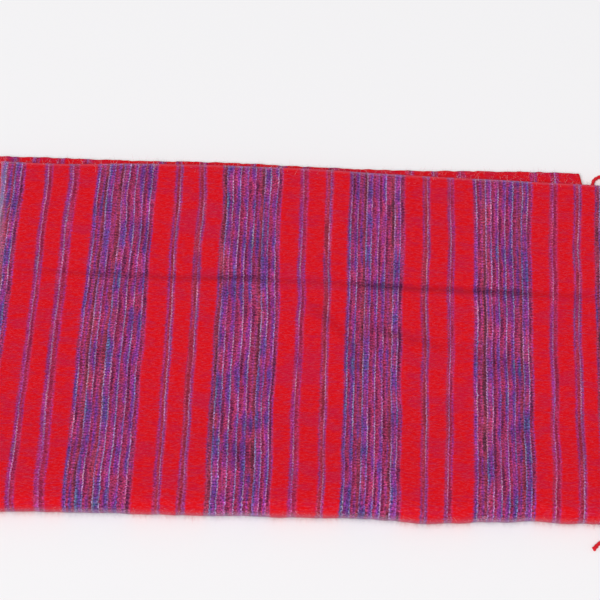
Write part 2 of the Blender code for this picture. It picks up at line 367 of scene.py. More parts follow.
    def lift(self, x: np.ndarray, y: np.ndarray, layer: np.ndarray) -> np.ndarray:
        """How far a layer of the top stands off the one below, with its creases and its soft ripples.

        Args:
            x: places along the warp.
            y: places from front to back.
            layer: how many layers lie below, also in part.

        Returns:
            The height beyond the plain gap.
        """
        swell = self.loft * (1 - self.swell.size + self.swell.height(x, y))
        trough = self.crease_depth * self.pressed(x, y) / 2
        ripples = sum(ripple.height(x, y) for ripple in self.ripples)
        top = (swell - trough + ripples) * np.maximum(layer - 1, 0)
        return top + (self.middle_share * swell - trough) * np.minimum(layer, 1)

    def sag(self, x: np.ndarray, way: np.ndarray, on_top: np.ndarray | float) -> np.ndarray:
        """How far the free ends sink where they reach past the folds under them.

        Args:
            x: places along the warp.
            way: places on the way round.
            on_top: how far each place belongs to the top, from 0 to 1.

        Returns:
            The depths.
        """
        left = self.inner_sag * smoothstep((self.inner_sag_from - x) / self.sag_length)
        right = self.outer_sag * smoothstep((x - self.edges.read("right_fold", way)) / self.sag_length)
        return left + right * on_top

    def place(self, x: np.ndarray, height: np.ndarray, way: np.ndarray, middle: np.ndarray) -> np.ndarray:
        """World points of places in the cloth.

        Args:
            x: places along the warp.
            height: heights out from the inner face of the half fold.
            way: places on the way round the half fold.
            middle: height of the middle of each place's layer.

        Returns:
            An array of points in the solids' own frame.
        """
        x, height, way, middle = np.broadcast_arrays(x, height, way, middle)
        layer = (middle - self.thickness / 2) / self.layer_step
        front = self.fronts.read("y", x) + sum(wave.height(x) for wave in self.front_waves)
        share = np.clip(way / self.top_end, 0, 1)
        back = self.backs.read("top", x) - self.top_setback * (1 - layer / 2)
        y_top = back + (front - back) * share
        z_top = self.half_stack + 2 * self.half_gap(x, share) + height + self.lift(x, y_top, layer)
        z_top = z_top - self.sag(x, way, 1.0)
        angle = np.clip((way - self.top_end) / (self.under_start - self.top_end), 0, 1) * math.pi
        on_top = np.cos(angle / 2) ** 2
        inner = self.half_gap(x, np.ones_like(x))
        radius = inner + height + self.lift(x, front, layer) * on_top
        outward = np.sin(angle)
        outward = np.where(angle > math.pi / 2, np.maximum(outward, 0) ** self.front_roundness, outward)
        y_arc = front - radius * outward
        z_arc = self.half_stack + inner + radius * np.cos(angle) - self.sag(x, way, on_top)
        under = np.clip((way - self.under_start) / (1 - self.under_start), 0, 1)
        back = self.backs.read("under", x) - self.under_setback * layer / 2
        lumps = sum(lump.height(x) for lump in self.selvedge_lumps)
        back = back + lumps * smoothstep((under - self.lumps_from) / (1 - self.lumps_from))
        y_under = front + (back - front) * under
        z_under = self.half_stack - height - self.sag(x, way, 0.0)
        on = [way <= self.top_end, way >= self.under_start]
        y = np.select(on, [y_top, y_under], y_arc)
        z = np.select(on, [z_top, z_under], z_arc)
        return np.stack([x, y, z], axis=-1)


@dataclass(frozen=True)
class StripeChart:
    """Where the stripes lie along the warp, as counts of stripe widths from x in millimetres.

    A repeat is 16 counts: a broad stripe from 0 to 8, and narrow ones from 10 to 11 and from 13 to 14.
    """

    # The outer panel, read off the stripes that show, from its left fold to its fringed end
    outer: Route = (
        (-402.0, 0), (-333.0, 8), (-308.0, 10), (-299.0, 11), (-281.0, 13), (-269.0, 14),
        (-247.6, 16), (-176.4, 24), (-153.9, 26), (-145.6, 27), (-126.6, 29), (-117.1, 30),
        (-96.9, 32), (-28.1, 40), (-6.7, 42), (2.8, 43), (24.1, 45), (32.4, 46),
        (51.4, 48), (116.7, 56), (138.0, 58), (146.3, 59), (167.7, 61), (174.8, 62),
        (197.4, 64), (266.2, 72), (287.5, 74), (297.0, 75), (316.0, 77), (325.5, 78), (340.9, 80),
    )
    # How far the stripes have slid along the warp halfway to the front and at the front, in millimetres
    slides: SizeTable = SizeTable(
        ("x", "middle", "front"),
        (
            (-0.360, -2.3, -2.2), (-0.303, -2.3, -2.2), (-0.275, -3.4, 1.6), (-0.248, -2.3, -1.2),
            (-0.176, 1.1, 3.9), (-0.150, 2.3, 5.0), (-0.122, 2.3, 3.1), (-0.097, 1.2, 3.7),
            (-0.028, 4.6, 8.4), (-0.002, 3.5, 4.8), (0.028, 3.5, 6.1), (0.051, 2.9, 3.9),
            (0.117, 1.7, 4.5), (0.142, 2.9, 6.1), (0.171, 3.2, 2.8), (0.197, 3.7, 4.5),
            (0.266, 1.2, 3.7), (0.292, -0.6, 0.0), (0.321, -2.1, 0.5), (0.345, -1.2, 0.0),
        ),
    )
    # The narrow stripes that show on the inner panel's face, behind the top
    inner: Route = (
        (-349.7, -343.8), (-326.9, -318.6), (-299.3, -291.0), (-267.0, -261.0), (-174.7, -167.5),
        (-156.7, -149.6), (-128.0, -120.8), (-65.8, -61.0), (-33.5, -22.8), (-4.8, 3.5), (26.3, 38.2),
        (120.6, 126.5), (149.2, 155.2), (181.4, 187.4), (266.0, 273.1), (289.8, 298.2),
    )
    # Counts that lie in the ground between stripes, for where the inner panel's stripes turn and end
    wide_ground: float = 15.0
    ground: float = 8.6
    inner_ends: Span = (-430.0, 330.0)
    # A whole repeat in millimetres, for the parts of the cloth that the folds hide
    repeat: Route = ((0.0, 0), (69.0, 8), (90.5, 10), (99.0, 11), (118.5, 13), (127.0, 14))
    repeat_length: float = 148.0
    repeat_count: int = 16
    hidden_repeats: int = 7

    def slid(self, warp: np.ndarray, share: float) -> np.ndarray:
        """Places on the chart of places in the outer panel.

        Args:
            warp: places along the warp.
            share: how far towards the front they are, from 0 at the selvedge on top to 1.

        Returns:
            The places on the chart.
        """
        middle, front = (self.slides.read(name, warp) * 0.001 for name in ("middle", "front"))
        if share < 0.5:
            return warp - middle * share * 2
        return warp - middle - (front - middle) * (share * 2 - 1)

    def outer_knots(self) -> np.ndarray:
        """The outer panel's knots, run on over the hidden panels.

        Returns:
            Rows of x in metres and the count there.
        """
        start = self.outer[0][0]
        hidden = [
            (start - n * self.repeat_length + x, count - self.repeat_count * n)
            for n in range(self.hidden_repeats, 0, -1)
            for x, count in self.repeat
        ]
        (last_x, last_count), (broad, broad_count) = self.outer[-1], self.repeat[1]
        return np.array([*hidden, *self.outer, (last_x + broad, last_count + broad_count)]) * (0.001, 1)

    def inner_knots(self) -> np.ndarray:
        """The inner panel's knots: its counts run to and fro, so that only narrow stripes show.

        Returns:
            Rows of x in metres and the count there.
        """
        steps = ((10, 11), (13, 14), (14, 13), (11, 10))
        turns = {1: self.wide_ground, 3: self.ground}
        knots = [(self.inner_ends[0], self.ground)]
        for k, (left, right) in enumerate(self.inner):
            low, high = steps[k % 4]
            knots += [(left, low), (right, high)]
            if k % 4 in turns and k + 1 < len(self.inner):
                knots.append(((right + self.inner[k + 1][0]) / 2, turns[k % 4]))
        knots.append((self.inner_ends[1], self.ground))
        return np.array(knots) * (0.001, 1)


class Finish(Enum):
    """Names of the record's material slots for the cloth and the fringe; no piece in this script is given one."""

    CLOTH = "cloth"
    FRINGE = "fringe"


class Side(Enum):
    """The two warp ends: the way that each one's fringe points."""

    RIGHT = 1
    LEFT = -1


@dataclass(frozen=True)
class Threads:
    """Where a point lies in the weave: its stripe count, and its places along the weft and along the warp."""

    count: Socket
    weft: Socket
    warp: Socket


@dataclass(frozen=True)
class StripeWeave:
    """The weave's colours: a red ground, and stripes of space-dyed weft whose colour changes along each pick.

    It reads the attribute that holds the stripe count, the place along the weft and the place along the warp.
    """

    attribute: str = "weave"
    # Warp threads lie 1.3 mm apart and each shows over every second pick: drawn 3.8 mm apart, so they show
    tooth_pitch: float = 0.0038
    tooth_shape: Remap = (-0.4, 0.7, 0.0, 1.0)
    # How light a pick is where it is up and where it is down
    tooth_light: Span = (1.25, 0.56)
    # Where across a stripe width the teeth change over, and how uneven the fibres make them
    tooth_turn: float = 0.46
    tooth_ruffle: float = 5.0
    # How far they reach over a stripe's edge, in stripe widths
    tooth_reach: float = 0.10
    picks_per_width: float = 4.0
    # A dyed length of weft yarn is 60 to 150 mm long
    dyed_per_metre: float = 14.0
    dye_drift: float = 2.0
    # Neighbouring picks have part of their dye in common
    pool_share: float = 0.35
    pool_stretch: Point = (0.06, 1.6, 1.0)
    # Blots where the dye lies darker and cooler over several picks, 25 to 60 mm across
    blots_per_metre: float = 26.0
    blot_drift: float = 0.9
    blot_light: Remap = (0.32, 0.68, 0.72, 1.26)
    # Brushing blends the picks a little
    blend: str = "#9C467C"
    brown: str = "#7C5A58"
    blend_share: float = 0.18
    # Brushed fibres lie across the stripes, drawn 0.9 mm and 2 mm apart, coarser than real, so that they show
    fibre_per_metre: float = 1100.0
    lock_per_metre: float = 500.0
    fibre_stretch: float = 0.16
    fibre_light: Remap = (0.3, 0.7, 0.75, 1.25)
    # Slubs of the spun yarn, drawn 2 mm apart
    slub_per_metre: float = 520.0
    slub_light: Remap = (0.3, 0.7, 0.45, 1.55)
    # How far the stripes swing, and how far brushing pulls them, in stripe widths
    swing: float = 0.65
    swing_per_metre: float = 14.0
    pull: float = 0.42
    # The stripes of a repeat, in counts
    repeat: int = 16
    broad_end: int = 8
    narrow: Route = ((10, 11), (13, 14))
    # Half of an edge's softness, and how far its haze of loose fibre reaches, in shares of a repeat
    edge: float = 0.005
    haze_reach: float = 0.018
    # How strong the haze is inside a stripe, at an edge, and where a broad stripe starts
    haze_levels: Point = (0.1, 0.3, 0.6)
    haze_locks: Remap = (0.46, 0.62, 0.0, 1.0)
    haze: str = "#B83068"
    # The red of the ground shows through the narrow stripes
    narrow_share: float = 0.74
    reds: Looks = ((0.40, "#C61032"), (0.46, "#CE0C22"), (0.51, "#D8080E"), (0.56, "#D20A1A"), (0.62, "#C8102E"))
    # Patches of the ground, and the grains of its nap, drawn 1.4 mm apart
    patches_per_metre: float = 46.0
    grains_per_metre: float = 700.0
    patch_stretch: float = 0.45
    lock_share: float = 0.35
    grain_share: float = 0.4
    fleck: str = "#EC6480"
    fleck_strength: Remap = (0.50, 0.70, 0.0, 0.21)
    # From warm and dark to cool: maroon, crimson, magenta, violet, indigo, blue and steel blue
    yarns: tuple[str, ...] = (
        "#481236", "#801A42", "#A82A4C", "#A4386C", "#96308A", "#703496", "#4E449C", "#4A74AE", "#7CA0B8",
    )
    # How cool the picks are across one stripe width, before their own drift
    coolness: Looks = ((0.0, 0.48), (0.28, 0.61), (0.44, 0.61), (0.50, 0.15), (0.74, 0.22), (0.86, 0.40), (1.0, 0.46))
    # The thin pale pick of each stripe width: where it lies, how it fades along the weft, and its colours
    pale_line: Looks = ((0.29, 0.0), (0.32, 1.0), (0.41, 1.0), (0.45, 0.0))
    pale_per_metre: float = 17.0
    pale_fade: Remap = (0.40, 0.60, 0.15, 0.8)
    pales: tuple[str, ...] = ("#B09CC4", "#CCA2BC", "#88A0C4", "#CCAAB8", "#C498C4", "#A096C8")
    pale_hues: Span = (0.3, 0.7)
    # From which count on the widths are brownish, at 1, or not, at 0; where it is 0.5, some are
    brownish: Route = (
        (0, 0.5), (10, 0.0), (16, 0.5), (26, 1.0), (32, 0.5), (42, 0.0), (45, 1.0),
        (48, 0.5), (58, 1.0), (61, 0.0), (64, 0.5), (74, 0.0), (77, 1.0),
    )
    charted: int = 80
    # A width is brownish where that and half of its own random number come to more than this
    brown_from: float = 0.79
    # Sets picks and widths apart in their noise, so that neighbours have nothing else in common
    pick_spacing: float = 4.37
    width_spacing: float = 7.13

    def build(self) -> Tree:
        """Builds the group of nodes.

        Returns:
            A group with the colour and the height of the weave, and where its stripes are, as its outputs.
        """
        tree = bpy.data.node_groups.new("striped_weave", "ShaderNodeTree")
        for name, kind in (("Colour", "NodeSocketColor"), ("Height", "NodeSocketFloat"), ("Stripe", "NodeSocketFloat")):
            tree.interface.new_socket(name, in_out="OUTPUT", socket_type=kind)
        add = partial(add_node, tree)
        source = add("ShaderNodeAttribute", attribute_name=self.attribute)
        plain = Threads(*add("ShaderNodeSeparateXYZ", (source.outputs["Vector"],)).outputs)
        fibre = self.strokes(add, plain, self.fibre_per_metre, 0.7)
        locks = self.strokes(add, plain, self.lock_per_metre, 3.1)
        at = Threads(self.wavering(add, plain, locks).outputs[0], plain.weft, plain.warp)
        across, turned = self.across(add, at)
        teeth = self.teeth(add, at, across, fibre)
        striped = self.stripe(add, at, across, turned, teeth)
        band, haze = self.bands(add, at, teeth)
        ground = self.ground(add, at, fibre, locks)
        lit = add("ShaderNodeMapRange", (fibre, *self.fibre_light))
        lightened = add("ShaderNodeMix", {"Factor": 1.0, "A": striped, "B": lit}, **MULTIPLIED)
        mixed = add("ShaderNodeMix", {"Factor": band, "A": ground, "B": lightened}, data_type="RGBA")
        spilt = add("ShaderNodeMapRange", (locks, *self.haze_locks))
        spill = add("ShaderNodeMath", (haze, spilt), operation="MULTIPLY", use_clamp=True)
        brushed = add("ShaderNodeMix", {"Factor": spill, "A": mixed, "B": linear(self.haze)}, data_type="RGBA")
        relief = add("ShaderNodeMath", (teeth, band), operation="MULTIPLY")
        height = add("ShaderNodeMath", (relief, -0.5, fibre), operation="MULTIPLY_ADD")
        add("NodeGroupOutput", {"Colour": brushed, "Height": height, "Stripe": band})
        return tree

    def strokes(self, add: Adder, at: Threads, per_metre: float, seed: float) -> Node:
        """Brushed fibres that lie across the stripes.

        Args:
            add: adds a node to the group.
            at: the place in the weave.
            per_metre: how many strokes lie side by side in a metre.
            seed: sets one layer of strokes apart from another.

        Returns:
            The node that gives the strokes' strength.
        """
        along = add("ShaderNodeMath", (at.warp, self.fibre_stretch), operation="MULTIPLY")
        where = add("ShaderNodeCombineXYZ", (along, at.weft, seed))
        return add("ShaderNodeTexNoise", {"Vector": where, "Scale": per_metre, "Detail": 2.0})

    def wavering(self, add: Adder, at: Threads, locks: Node) -> Node:
        """The stripe count, wavering as picks do that are beaten in by hand, and pulled about by brushing.

        Args:
            add: adds a node to the group.
            at: the place in the weave.
            locks: the coarser strokes of brushed fibres.

        Returns:
            The node that gives the count.
        """
        where = add("ShaderNodeCombineXYZ", (at.warp, at.weft, 0.31))
        slow = add("ShaderNodeTexNoise", {"Vector": where, "Scale": self.swing_per_metre, "Detail": 1.0})
        swung = add("ShaderNodeMath", (slow, self.swing, at.count), operation="MULTIPLY_ADD")
        pulled = add("ShaderNodeMath", (locks, self.pull, swung), operation="MULTIPLY_ADD")
        return add("ShaderNodeMath", (pulled, (self.swing + self.pull) / 2), operation="SUBTRACT")

    def across(self, add: Adder, at: Threads) -> tuple[Node, Node]:
        """The place across one stripe width, from 0 to 1, turned about in some widths.

        Args:
            add: adds a node to the group.
            at: the place in the weave.

        Returns:
            The nodes that give the place and whether the width is turned about.
        """
        cell = add("ShaderNodeMath", (at.count,), operation="FLOOR")
        toss = add("ShaderNodeTexWhiteNoise", {"W": cell}, noise_dimensions="1D")
        share = add("ShaderNodeMath", (at.count, 1 / self.charted), operation="MULTIPLY")
        chart = add("ShaderNodeValToRGB", (share,))
        chart.color_ramp.interpolation = "CONSTANT"
        set_ramp(chart, [(count / self.charted, value) for count, value in self.brownish])
        either = add("ShaderNodeMath", (toss, 0.5, chart), operation="MULTIPLY_ADD")
        turned = add("ShaderNodeMath", (either, self.brown_from), operation="GREATER_THAN")
        place = add("ShaderNodeMath", (at.count,), operation="FRACT")
        back = add("ShaderNodeMath", (place, -2.0, 1.0), operation="MULTIPLY_ADD")
        across = add("ShaderNodeMath", (turned, back, place), operation="MULTIPLY_ADD")
        return across, turned

    def teeth(self, add: Adder, at: Threads, across: Node, fibre: Node) -> Node:
        """Where the picks dip under the warp, at every second thread, stepping from pick to pick.

        Args:
            add: adds a node to the group.
            at: the place in the weave.
            across: the place across one stripe width.
            fibre: the fine brushed fibres, which make the steps uneven.

        Returns:
            The node that gives 1 where a pick is down and 0 where it is up.
        """
        step = add("ShaderNodeMath", (across, self.tooth_turn), operation="GREATER_THAN")
        ruffled = add("ShaderNodeMath", (fibre, self.tooth_ruffle, step), operation="MULTIPLY_ADD")
        phase = add("ShaderNodeMath", (ruffled, math.pi), operation="MULTIPLY")
        angle = add("ShaderNodeMath", (at.weft, 2 * math.pi / self.tooth_pitch, phase), operation="MULTIPLY_ADD")
        wave = add("ShaderNodeMath", (angle,), operation="SINE")
        return add("ShaderNodeMapRange", (wave, *self.tooth_shape))

    def bands(self, add: Adder, at: Threads, teeth: Node) -> tuple[Node, Node]:
        """Where the stripes are, with toothed edges, and the haze of fibres brushed out of them.

        Args:
            add: adds a node to the group.
            at: the place in the weave.
            teeth: where the picks dip under the warp.

        Returns:
            The nodes that give the two.
        """
        toothed = add("ShaderNodeMath", (teeth, self.tooth_reach, at.count), operation="MULTIPLY_ADD")
        share = add("ShaderNodeMath", (toothed, 1 / self.repeat), operation="MULTIPLY")
        repeat = add("ShaderNodeMath", (share,), operation="FRACT")
        edge, soft, full = self.edge, self.haze_reach, self.narrow_share
        inside, rim, first = self.haze_levels
        end = self.broad_end / self.repeat
        bands = [(0.0, 0.5), (edge, 1.0), (end - edge, 1.0), (end + edge, 0.0)]
        hazes = [(0.0, first), (edge * 2, inside), (end - edge, inside), (end, rim), (end + soft, 0.0)]
        for low, high in self.narrow:
            start, end = low / self.repeat, high / self.repeat
            bands += [(start - edge, 0.0), (start + edge, full), (end - edge, full), (end + edge, 0.0)]
            hazes += [(start - soft, 0.0), (start, rim), (start + edge, inside)]
            hazes += [(end - edge, inside), (end, rim), (end + soft, 0.0)]
        band = add("ShaderNodeValToRGB", (repeat,))
        set_ramp(band, [*bands, (1 - edge, 0.0), (1.0, 0.5)])
        haze = add("ShaderNodeValToRGB", (repeat,))
        set_ramp(haze, [*hazes, (1 - soft, 0.0), (1.0, first)])
        return band, haze

    def stripe(self, add: Adder, at: Threads, across: Node, turned: Node, teeth: Node) -> Node:
        """The stripes' own colours: cool and warm picks side by side, with a thin pale one between them.

        Args:
            add: adds a node to the group.
            at: the place in the weave.
            across: the place across one stripe width.
            turned: whether the width is turned about.
            teeth: where the picks dip under the warp.

        Returns:
            The node that gives the colour.
        """
        spread = add("ShaderNodeCombineXYZ", (at.warp, at.weft, 9.0))
        blots = add("ShaderNodeTexNoise", {"Vector": spread, "Scale": self.blots_per_metre, "Detail": 3.0})
        yarn = add("ShaderNodeValToRGB", (self.dye(add, at, across, blots),))
        set_ramp(yarn, zip(np.linspace(0, 1, len(self.yarns)), self.yarns))
        shown, tint = self.pale_thread(add, at, across)
        threaded = add("ShaderNodeMix", {"Factor": shown, "A": yarn, "B": tint}, data_type="RGBA")
        spot = add("ShaderNodeCombineXYZ", (at.warp, at.weft, 6.0))
        slubs = add("ShaderNodeTexNoise", {"Vector": spot, "Scale": self.slub_per_metre, "Detail": 1.0})
        uneven = add("ShaderNodeMapRange", (slubs, *self.slub_light))
        stepped = add("ShaderNodeMapRange", (teeth, 0.0, 1.0, *self.tooth_light))
        toned = add("ShaderNodeMapRange", (blots, *self.blot_light))
        steps = add("ShaderNodeMath", (uneven, stepped), operation="MULTIPLY")
        light = add("ShaderNodeMath", (steps, toned), operation="MULTIPLY")
        colours = {"Factor": turned, "A": linear(self.blend), "B": linear(self.brown)}
        blend = add("ShaderNodeMix", colours, data_type="RGBA")
        brushed = add("ShaderNodeMix", {"Factor": self.blend_share, "A": threaded, "B": blend}, data_type="RGBA")
        return add("ShaderNodeMix", {"Factor": 1.0, "A": brushed, "B": light}, **MULTIPLIED)

    def dye(self, add: Adder, at: Threads, across: Node, blots: Node) -> Node:
        """How far along the row of yarn colours a place is dyed.

        Args:
            add: adds a node to the group.
            at: the place in the weave.
            across: the place across one stripe width.
            blots: where the dye lies darker and cooler.

        Returns:
            The node that gives it, from 0 to 1.
        """
        pick = add("ShaderNodeMath", (at.count, self.picks_per_width), operation="MULTIPLY")
        whole = add("ShaderNodeMath", (pick,), operation="FLOOR")
        own = add("ShaderNodeMath", (whole, self.pick_spacing), operation="MULTIPLY")
        along = add("ShaderNodeMath", (at.weft, self.dyed_per_metre), operation="MULTIPLY")
        where = add("ShaderNodeCombineXYZ", (own, along, at.warp))
        single = add("ShaderNodeTexNoise", {"Vector": where, "Detail": 5.0, "Roughness": 0.72, "Scale": 1.0})
        pool = add("ShaderNodeVectorMath", (where, self.pool_stretch), operation="MULTIPLY")
        pooled = add("ShaderNodeTexNoise", {"Vector": pool, "Detail": 2.0, "Scale": 1.0})
        drift = add("ShaderNodeMix", {"Factor": self.pool_share, "A": single, "B": pooled}, data_type="FLOAT")
        cool = add("ShaderNodeValToRGB", (across,))
        set_ramp(cool, self.coolness)
        moved = add("ShaderNodeMath", (drift, self.dye_drift, cool), operation="MULTIPLY_ADD")
        middle = (self.dye_drift - self.blot_drift) / 2
        centred = add("ShaderNodeMath", (moved, middle), operation="SUBTRACT")
        return add("ShaderNodeMath", (blots, -self.blot_drift, centred), operation="MULTIPLY_ADD")

    def pale_thread(self, add: Adder, at: Threads, across: Node) -> tuple[Node, Node]:
        """The thin pale pick in each stripe width, which fades in and out along the weft.

        Args:
            add: adds a node to the group.
            at: the place in the weave.
            across: the place across one stripe width.

        Returns:
            The nodes that give how much it shows and its colour.
        """
        cell = add("ShaderNodeMath", (at.count,), operation="FLOOR")
        own = add("ShaderNodeMath", (cell, self.width_spacing), operation="MULTIPLY")
        along = add("ShaderNodeMath", (at.weft, self.pale_per_metre), operation="MULTIPLY")
        where = add("ShaderNodeCombineXYZ", (own, along, at.warp))
        fade = add("ShaderNodeTexNoise", {"Vector": where, "Scale": 1.0, "Detail": 2.0})
        there = add("ShaderNodeMapRange", (fade, *self.pale_fade))
        line = add("ShaderNodeValToRGB", (across,))
        set_ramp(line, self.pale_line)
        shown = add("ShaderNodeMath", (line, there), operation="MULTIPLY")
        other = add("ShaderNodeVectorMath", (where, (3.3, 0.8, 5.5)), operation="ADD")
        hue = add("ShaderNodeTexNoise", {"Vector": other, "Scale": 1.0, "Detail": 1.0})
        tint = add("ShaderNodeValToRGB", (hue,))
        set_ramp(tint, zip(np.linspace(*self.pale_hues, len(self.pales)), self.pales))
        return shown, tint

    def ground(self, add: Adder, at: Threads, fibre: Node, locks: Node) -> Node:
        """The red ground, mottled by brushing.

        Args:
            add: adds a node to the group.
            at: the place in the weave.
            fibre: the fine brushed fibres.
            locks: the coarser ones.

        Returns:
            The node that gives the colour.
        """
        along = add("ShaderNodeMath", (at.warp, self.patch_stretch), operation="MULTIPLY")
        where = add("ShaderNodeCombineXYZ", (along, at.weft, 1.9))
        patches = add("ShaderNodeTexNoise", {"Vector": where, "Scale": self.patches_per_metre, "Detail": 4.0})
        mottle = add("ShaderNodeMix", {"Factor": self.lock_share, "A": patches, "B": locks}, data_type="FLOAT")
        ramp = add("ShaderNodeValToRGB", (mottle,))
        set_ramp(ramp, self.reds)
        grains = add("ShaderNodeTexNoise", {"Vector": where, "Scale": self.grains_per_metre, "Detail": 1.0})
        both = add("ShaderNodeMix", {"Factor": self.grain_share, "A": fibre, "B": grains}, data_type="FLOAT")
        flecked = add("ShaderNodeMapRange", (both, *self.fleck_strength))
        return add("ShaderNodeMix", {"Factor": flecked, "A": ramp, "B": linear(self.fleck)}, data_type="RGBA")


@dataclass(frozen=True)
class BrushedWool:
    """Brushed wool cloth: soft, matt and slightly bright at its edges, from its sheen and from painted sheen on its
    rims, with a short nap over the weave and painted shade in its creases.
    """

    weave: Tree
    roughness: float = 0.92
    sheen: float = 0.06
    sheen_roughness: float = 0.5
    sheen_tint: str = "#F0B8CC"
    specular: float = 0.08
    bump: float = 0.55
    # Nap that stands 0.6 mm out of the cloth
    bump_depth: float = 0.0006
    # Painted sheen: how far the rims are paled towards this lilac on the ground and on the stripes, for the light that
    # the brushed nap catches where the cloth turns away
    rim: str = "#D0A8C8"
    rim_sheen_shares: Span = (0.20, 0.42)
    # Painted shade: how far the creases are darkened towards this colour on the ground and on the stripes, for the
    # shade that falls into them
    crease: str = "#30102E"
    crease_shade_shares: Span = (0.3, 0.6)

    def build(self) -> Material:
        """Builds the material.

        Returns:
            The material, which reads the weave attribute of its piece, the rim attribute for its painted sheen and the
            creases' press attribute for its painted shade.
        """
        material = bpy.data.materials.new("brushed_wool")
        material.use_nodes = True
        tree = material.node_tree
        add = partial(add_node, tree)
        weave = add("ShaderNodeGroup", node_tree=self.weave)
        colour = weave.outputs["Colour"]
        # Painted sheen pales the rims towards the rim colour, and painted shade darkens the creases towards the crease
        # colour
        for mark, shares, tint in (("rim", self.rim_sheen_shares, self.rim), ("press_and_shade", self.crease_shade_shares, self.crease)):
            source = add("ShaderNodeAttribute", attribute_name=mark)
            most = add("ShaderNodeMapRange", (weave.outputs["Stripe"], 0.0, 1.0, *shares))
            share = add("ShaderNodeMath", (source.outputs["Fac"], most), operation="MULTIPLY")
            colour = add("ShaderNodeMix", {"Factor": share, "A": colour, "B": linear(tint)}, data_type="RGBA")
        relief = {"Strength": self.bump, "Distance": self.bump_depth, "Height": weave.outputs["Height"]}
        looks = {
            "Base Color": colour,
            "Normal": add("ShaderNodeBump", relief),
            "Roughness": self.roughness,
            "Sheen Weight": self.sheen,
            "Sheen Roughness": self.sheen_roughness,
            "Sheen Tint": linear(self.sheen_tint),
            "Specular IOR Level": self.specular,
        }
        set_inputs(tree, tree.nodes["Principled BSDF"], looks)
        return material


@dataclass(frozen=True)
class LooseWool:
    """Loose wool fibres: fine and matt, with the yarn's colour paled as painted sheen, for the light that fine loose
    fibres catch.
    """

    weave: Tree
    name: str
    pale_sheen: str
    # Painted sheen: how far the fibres are paled towards their pale colour on the ground and on the stripes
    shares: Span
    roughness: float = 0.85
    specular: float = 0.2

    def build(self) -> Material:
        """Builds the material.

        Returns:
            The material, which reads the weave attribute that each fibre takes from its root.
        """
        material = bpy.data.materials.new(self.name)
        material.use_nodes = True
        tree = material.node_tree
        add = partial(add_node, tree)
        weave = add("ShaderNodeGroup", node_tree=self.weave)
        # Painted sheen: the weave's colour paled towards the pale colour, more on the stripes than on the ground
        share = add("ShaderNodeMapRange", (weave.outputs["Stripe"], 0.0, 1.0, *self.shares))
        mixed = {"Factor": share, "A": weave.outputs["Colour"], "B": linear(self.pale_sheen)}
        looks = {
            "Base Color": add("ShaderNodeMix", mixed, data_type="RGBA"),
            "Roughness": self.roughness,
            "Specular IOR Level": self.specular,
        }
        set_inputs(tree, tree.nodes["Principled BSDF"], looks)
        return material


@dataclass(frozen=True)
class TwistedWool:
    """Two-ply red wool cord: hard twisted, so it is smoother than the cloth, with a fine slanting grain."""

    colours: Looks = ((0.32, "#B00E20"), (0.44, "#CE1424"), (0.54, "#DC1C2A"), (0.66, "#D42A3C"))
    roughness: float = 0.85
    sheen: float = 0.15
    sheen_tint: str = "#FFC8D0"
    specular: float = 0.2
    patches_per_metre: float = 45.0
    # Yarns of the ply, drawn 1.1 mm apart, and standing 0.3 mm out of it
    grain_per_metre: float = 900.0
    grain_share: float = 0.4
    bump: float = 0.5
    bump_depth: float = 0.0003

    def build(self) -> Material:
        """Builds the material.

        Returns:
            The material, which reads the attribute of the place along each cord.
        """
        material = bpy.data.materials.new("twisted_wool_cord")
        material.use_nodes = True
        tree = material.node_tree
        add = partial(add_node, tree)
        along = add("ShaderNodeAttribute", attribute_name="cord").outputs["Vector"]
        patches = add("ShaderNodeTexNoise", {"Vector": along, "Scale": self.patches_per_metre, "Detail": 3.0})
        place = add("ShaderNodeTexCoord").outputs["Object"]
        grain = add("ShaderNodeTexNoise", {"Vector": place, "Scale": self.grain_per_metre, "Detail": 1.0})
        joined = add("ShaderNodeMix", {"Factor": self.grain_share, "A": patches, "B": grain}, data_type="FLOAT")
        ramp = add("ShaderNodeValToRGB", (joined,))
        set_ramp(ramp, self.colours)
        looks = {
            "Base Color": ramp,
            "Normal": add("ShaderNodeBump", {"Strength": self.bump, "Distance": self.bump_depth, "Height": grain}),
            "Roughness": self.roughness,
            "Sheen Weight": self.sheen,
            "Sheen Tint": linear(self.sheen_tint),
            "Specular IOR Level": self.specular,
        }
        set_inputs(tree, tree.nodes["Principled BSDF"], looks)
        return material


def new_piece(name: str, points: np.ndarray, faces: list[tuple[int, ...]], material: Material | None) -> Piece:
    """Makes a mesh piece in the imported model's frame.

    Args:
        name: the piece's name.
        points: its points in the solids' own frame.
        faces: its faces, or pairs of points where it is a set of lines.
        material: its material.

    Returns:
        The piece, linked to the scene.
    """
    mesh = bpy.data.meshes.new(name)
    moved = (np.asarray(points) + OWN_ORIGIN).tolist()
    lines = len(faces[0]) == 2
    mesh.from_pydata(moved, faces if lines else [], [] if lines else faces)
    if material:
        mesh.materials.append(material)
    piece = bpy.data.objects.new(name, mesh)
    bpy.context.collection.objects.link(piece)
    return piece


def set_attribute(piece: Piece, name: str, values: np.ndarray) -> None:
    """Stores a number or a vector at each point of a piece.

    Args:
        piece: the piece.
        name: the attribute's name.
        values: one value or one row of three for each point.
    """
    values = np.asarray(values, dtype=np.float32)
    kind, field = ("FLOAT", "value") if values.ndim == 1 else ("FLOAT_VECTOR", "vector")
    attribute = piece.data.attributes.new(name, kind, "POINT")
    attribute.data.foreach_set(field, values.ravel())


def triangles(piece: Piece) -> int:
    """Counts a piece's triangles."""
    piece.data.calc_loop_triangles()
    return len(piece.data.loop_triangles)


